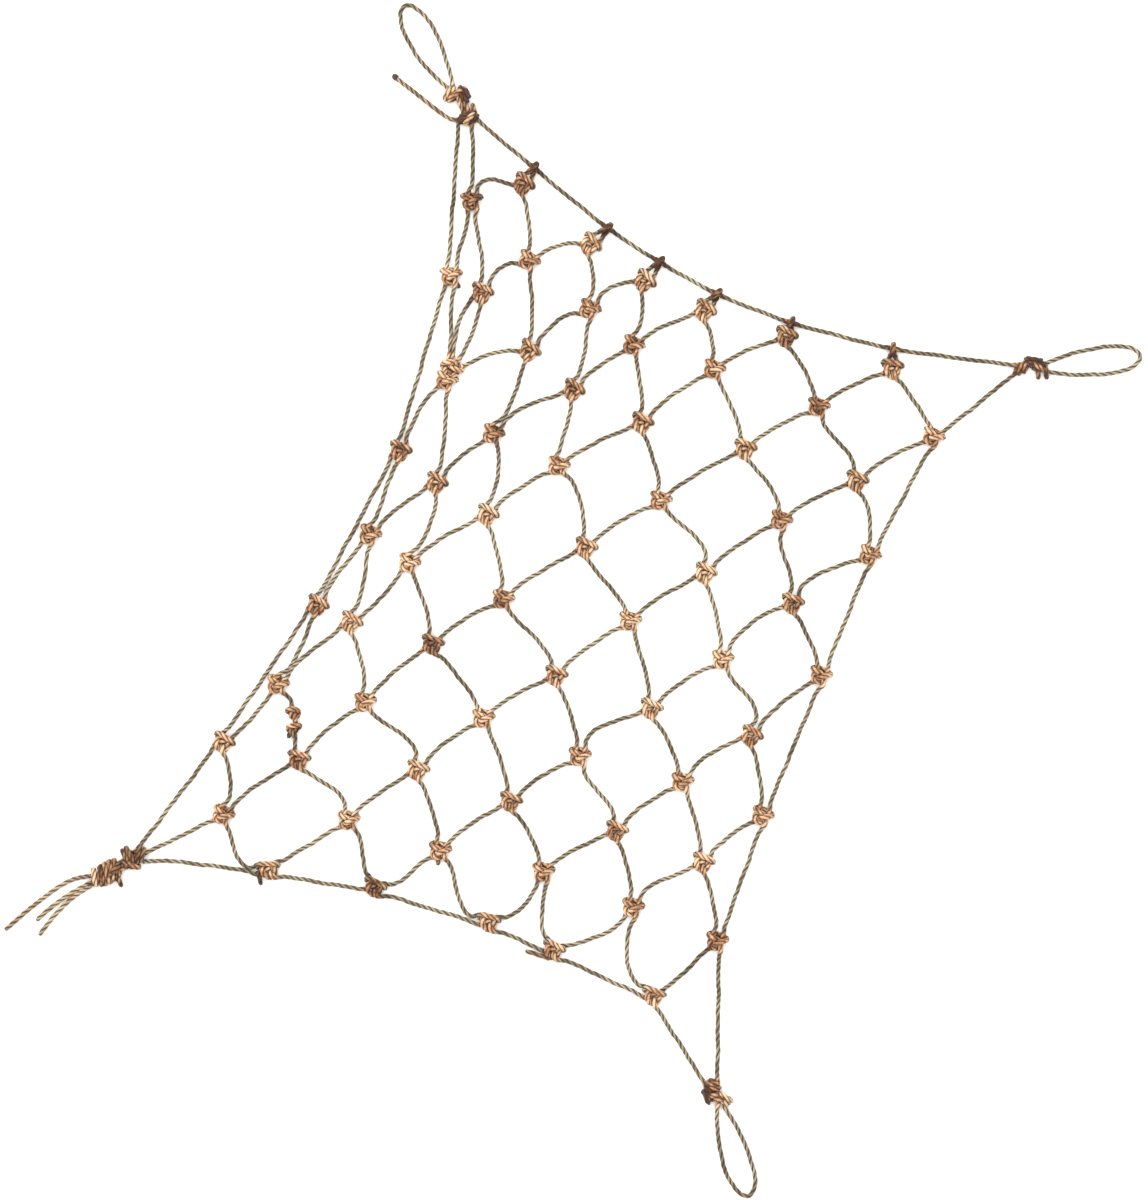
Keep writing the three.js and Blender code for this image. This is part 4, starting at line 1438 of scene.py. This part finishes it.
@dataclass
class Netting:
    """The netting: its twine and knots, in bands so that no piece is too heavy.

    Attributes:
        bands: How many pieces it is made in.
        made_of_metre: How much flat netting with square meshes a metre of twine makes, in square metres.
        cover: How much of that the twine and its knots cover; not used.
        long: The length of the flat netting of a band; not used.
        bound: The ropes and corner knots listed for each band; declare goes through the bands by it, but nothing is
            bound to them.
    """

    bands: int = 4
    made_of_metre: float = 0.0302
    cover: float = 0.3
    long: float = 0.6
    bound: tuple[tuple[str, ...], ...] = (
        ("edge_rope_left_laid", "corner_knot_bottom_left_tied"),
        ("edge_rope_bottom_laid", "corner_knot_bottom_right_tied", "eye_bottom_right_laid"),
        ("corner_knot_top_left_tied", "eye_top_left_laid"),
        ("edge_rope_top_laid", "edge_rope_right_laid", "corner_knot_right_tied", "eye_right_laid"),
    )

    def lay(self, dresser: Dresser) -> list[Order]:
        """Lays out the pieces."""
        net = dresser.net
        radius = net.plan.twine / 2
        runs = [dresser.run(line, radius, ends) for line, ends in net.joined(NETTING)]
        runs += [self._tail(dresser, *ends) for ends in TAILS]
        runs.append(self._tail(dresser, (-320, -142), (-328, -158)))
        middle = lambda run: float(run.line[:, 0].mean() + run.line[:, 1].mean())
        runs.sort(key=middle)
        lengths = np.cumsum([lengths_along(run.line)[-1] for run in runs])
        band = np.minimum((lengths / lengths[-1] * self.bands - 1e-9).astype(int), self.bands - 1)
        return [
            Order(f"netting_{b + 1}", [run for run, own in zip(runs, band) if own == b], Slot.TWINE, (NETTING,))
            for b in range(self.bands)
        ]

    def declare(self, orders: list[Order], pieces: list[bpy.types.Object]) -> None:
        """Works out how large a flat piece each band of the netting was knotted as; the result is not kept or passed
        on.

        Args:
            orders: All orders.
            pieces: What was made of them; not used.
        """
        for b, bound in enumerate(self.bound):
            order = next(order for order in orders if order.name == f"{NETTING}_{b + 1}")
            flat = sum(lengths_along(run.line)[-1] for run in order.runs) * self.made_of_metre

    def _tail(self, dresser: Dresser, start: Sequence[float], finish: Sequence[float]) -> Run:
        """A cut end of twine that sticks out of a knot."""
        plan = dresser.net.plan
        a, b = np.array([*start, plan.rise + 1.0]), np.array([*finish, 0.6 * plan.twine + plan.rest])
        middle = 0.5 * (a + b) + (0, 0, 0.6)
        return dresser.run(rounded([a, middle, b]), plan.twine / 2, (False, True), 0.3, -0.6)


@dataclass
class EdgeRopes:
    """The four edge ropes."""

    def lay(self, dresser: Dresser) -> list[Order]:
        """Lays out the pieces."""
        radius = dresser.net.plan.rope / 2
        orders = []
        for edge in Edge:
            runs = [dresser.run(line, radius, (False, False)) for line, _ in dresser.net.joined(edge.value)]
            orders.append(Order(edge.value + "_laid", runs, Slot.EDGE, (edge.value,)))
        return orders


@dataclass
class Eyes:
    """The eyes for hooks at three corners."""

    def lay(self, dresser: Dresser) -> list[Order]:
        """Lays out the pieces."""
        radius = dresser.net.plan.rope / 2
        orders = []
        for corner in EYES:
            name = "eye_" + corner.value
            runs = [dresser.run(line, radius, (False, False)) for line, _ in dresser.net.joined(name)]
            orders.append(Order(name + "_laid", runs, Slot.EDGE, (name,)))
        return orders


@dataclass
class CornerKnots:
    """The knots of the corners with their windings, tails and free ends."""

    windings: dict[Corner, tuple[Winding, ...]] = field(default_factory=lambda: {
        Corner.TOP_LEFT: (
            Winding((-143, 581), 15, 16, 18, 13.5, 2.3, 3.0, 0.1, 0.3),
            Winding((-126, 580), 62, 20, 20, 14.5, 2.7, 4.0, 0.4, -3.0),
            Winding((-134, 580), 104, 10, 27, 15.5, 1.3, -4.0, 0.55, -0.5),
            Winding((-121, 553), 78, 17, 25, 14, 2.4, -4.0, 0.2, -1.7),
            Winding((-119, 552), -20, 15, 19, 16, 1.6, 4.0, 0.5, 0.9),
        ),
        Corner.RIGHT: (
            Winding((514, 266), 12, 21, 16, 13, 2.9, 3.0, 0.2, -0.6),
            Winding((530, 271), 96, 19, 27, 14.5, 2.6, 4.0, 0.1, -1.8),
            Winding((533, 268), 25, 16, 19, 16, 1.5, -3.0, 0.6, 0.1),
        ),
        Corner.BOTTOM_RIGHT: (
            Winding((160.5, -557.5), 104, 19, 17, 13, 2.7, 3.0, 0.4, -1.2),
            Winding((154, -568), 60, 18, 19, 14.5, 2.3, 3.0, 0.2, -3.0),
            Winding((172.5, -572.5), 25, 18, 20, 14, 2.3, -3.0, 0.5, 0.9),
            Winding((163, -570), 108, 12, 28, 16, 1.3, 4.0, 0.1, -0.5),
        ),
        Corner.BOTTOM_LEFT: (
            Winding((-511, -295), 35, 21, 27, 15, 2.9, 2.0, 0.1, -0.4),
            Winding((-498, -292), -30, 18, 23, 15.5, 2.3, -2.0, 0.3, -1.1),
            Winding((-507, -303), 70, 15, 25, 16, 1.4, 2.0, 0.6, -0.3),
            Winding((-533, -312), 26, 35, 28, 15, 4.8, 3.0, 0.2, -0.5),
            Winding((-549, -318), 18, 11, 24, 16.5, 1.4, 2.0, 0.5, 0.5),
            Winding((-542, -316), 22, 9, 27, 17, 1.2, 2.0, 0.1, -1.9),
            Winding((-527, -309), -38, 15, 24, 17.5, 1.5, 2.0, 0.4, -1.0),
        ),
    })
    tails: dict[Corner, tuple[tuple[tuple[float, float], tuple[float, float]], ...]] = field(default_factory=lambda: {
        Corner.TOP_LEFT: (((-112, 553), (-116, 570)),),
        Corner.RIGHT: (((532, 268), (534, 254)), ((541, 269), (543.5, 254))),
        Corner.BOTTOM_RIGHT: (),
        Corner.BOTTOM_LEFT: (((-524, -315), (-519, -329)),),
    })
    whipping: Winding = Winding((-204.5, 600.7), 143.8, 8.5, 7.8, 7.8, 6, 0.0, 0.0, -1.0, 1.5)

    def lay(self, dresser: Dresser) -> list[Order]:
        """Lays out the pieces."""
        radius = dresser.net.plan.rope / 2
        orders = []
        for corner in Corner:
            name = "corner_knot_" + corner.value
            runs = [dresser.run(line, radius, self._free(line, ends), 0.25) for line, ends in dresser.net.joined(name)]
            runs += [dresser.run(w.line(), radius, (False, False), 0.6, w.tone) for w in self.windings[corner]]
            for start, finish in self.tails[corner]:
                high, low = (*start, dresser.net.plan.rise + 2.0), (*finish, 1.2 * radius + dresser.net.plan.rest)
                middle = 0.5 * (np.array(high) + low) + (0, 0, 1.0)
                runs.append(dresser.run(rounded([high, middle, low]), radius, (False, True), 0.6, -1.2))
            if corner is Corner.TOP_LEFT:
                line = self.whipping.line() - (0, 0, self.whipping.thick / 2 - radius)
                line[:, 2] = np.maximum(line[:, 2], 0.8)
                runs.append(dresser.run(line, 0.75, (False, False), 0.0, -1.6))
            orders.append(Order(name + "_tied", runs, Slot.CORNER, (name,)))
        return orders

    def _free(self, line: Line, ends: tuple[bool, bool]) -> tuple[bool, bool]:
        """Which ends of a length of rope lie free on the surface."""
        return tuple(free and point[2] < 3.2 for free, point in zip(ends, (line[0], line[-1])))


@dataclass
class Studio:
    """The floor, the light and the camera straight above.

    Attributes:
        view: The width and height of the photograph's frame, in pixels; not used.
        shown: How much of the floor its longer side shows.
        lens: The lens, on a sensor of the usual width.
        centre: What the camera looks at.
    """

    view: tuple[int, int] = (1148, 1200)
    shown: float = 1.38
    lens: float = 85.0
    sensor: float = 36.0
    centre: tuple[float, float] = (0.00217, 0.000155)

    def build(self) -> None:
        """Makes the floor, the lights and the camera."""
        bpy.context.scene.view_settings.view_transform = "Standard"
        self._floor()
        self._lights()
        camera = bpy.data.cameras.new("camera")
        camera.lens, camera.sensor_width, camera.sensor_fit = self.lens, self.sensor, "VERTICAL"
        camera.sensor_height = self.sensor
        camera.clip_end = 50
        seen = bpy.data.objects.new("camera", camera)
        seen.location = (*self.centre, self.shown * self.lens / self.sensor)
        bpy.context.scene.collection.objects.link(seen)
        bpy.context.scene.camera = seen

    def _floor(self) -> None:
        """Makes a plain pale floor."""
        mesh = bpy.data.meshes.new("floor")
        half = 12.0
        mesh.from_pydata([(-half, -half, 0), (half, -half, 0), (half, half, 0), (-half, half, 0)], [], [(0, 1, 2, 3)])
        floor = bpy.data.objects.new("floor", mesh)
        bpy.context.scene.collection.objects.link(floor)
        material = bpy.data.materials.new("floor")
        material.use_nodes = True
        shader = material.node_tree.nodes["Principled BSDF"]
        shader.inputs["Base Color"].default_value = (0.96, 0.955, 0.94, 1)
        shader.inputs["Roughness"].default_value = 0.9
        shader.inputs["Specular IOR Level"].default_value = 0.1
        mesh.materials.append(material)

    def _lights(self) -> None:
        """Hangs a wide soft light overhead, a warmer one from the upper left and a pale sky."""
        for name, at, size, power, colour in (
            ("overhead", (0.0, 0.3, 3.2), 3.2, 95.0, (1.0, 0.99, 0.97)),
            ("side", (-2.2, 1.9, 2.0), 1.4, 60.0, (1.0, 0.97, 0.93)),
        ):
            light = bpy.data.lights.new(name, "AREA")
            light.shape, light.size, light.energy, light.color = "DISK", size, power, colour
            lamp = bpy.data.objects.new(name, light)
            lamp.location = at
            lamp.rotation_euler = Vector(at).to_track_quat("Z", "Y").to_euler()
            bpy.context.scene.collection.objects.link(lamp)
        world = bpy.data.worlds.new("sky")
        world.use_nodes = True
        world.node_tree.nodes["Background"].inputs[0].default_value = (1.0, 0.985, 0.955, 1)
        world.node_tree.nodes["Background"].inputs[1].default_value = 0.9
        bpy.context.scene.world = world


def main() -> None:
    """Builds the studio and the net, piece by piece."""
    logging.basicConfig(level=logging.INFO, format="%(name)s: %(message)s")
    Studio().build()
    net = Net(Plan(), SheetBend())
    log.info("tied %d knots", len(net.centres))
    twine = RopeFinish("twine_rope").material()
    rope = RopeFinish("edge_rope").material()
    corner = RopeFinish("corner_rope").material()
    dresser = Dresser(net, RopeWalk(), {Slot.TWINE: twine, Slot.EDGE: rope, Slot.CORNER: corner})
    netting = Netting()
    orders = [order for part in (netting, EdgeRopes(), Eyes(), CornerKnots()) for order in part.lay(dresser)]
    netting.declare(orders, dresser.make(orders))


if __name__ == "__main__":
    main()
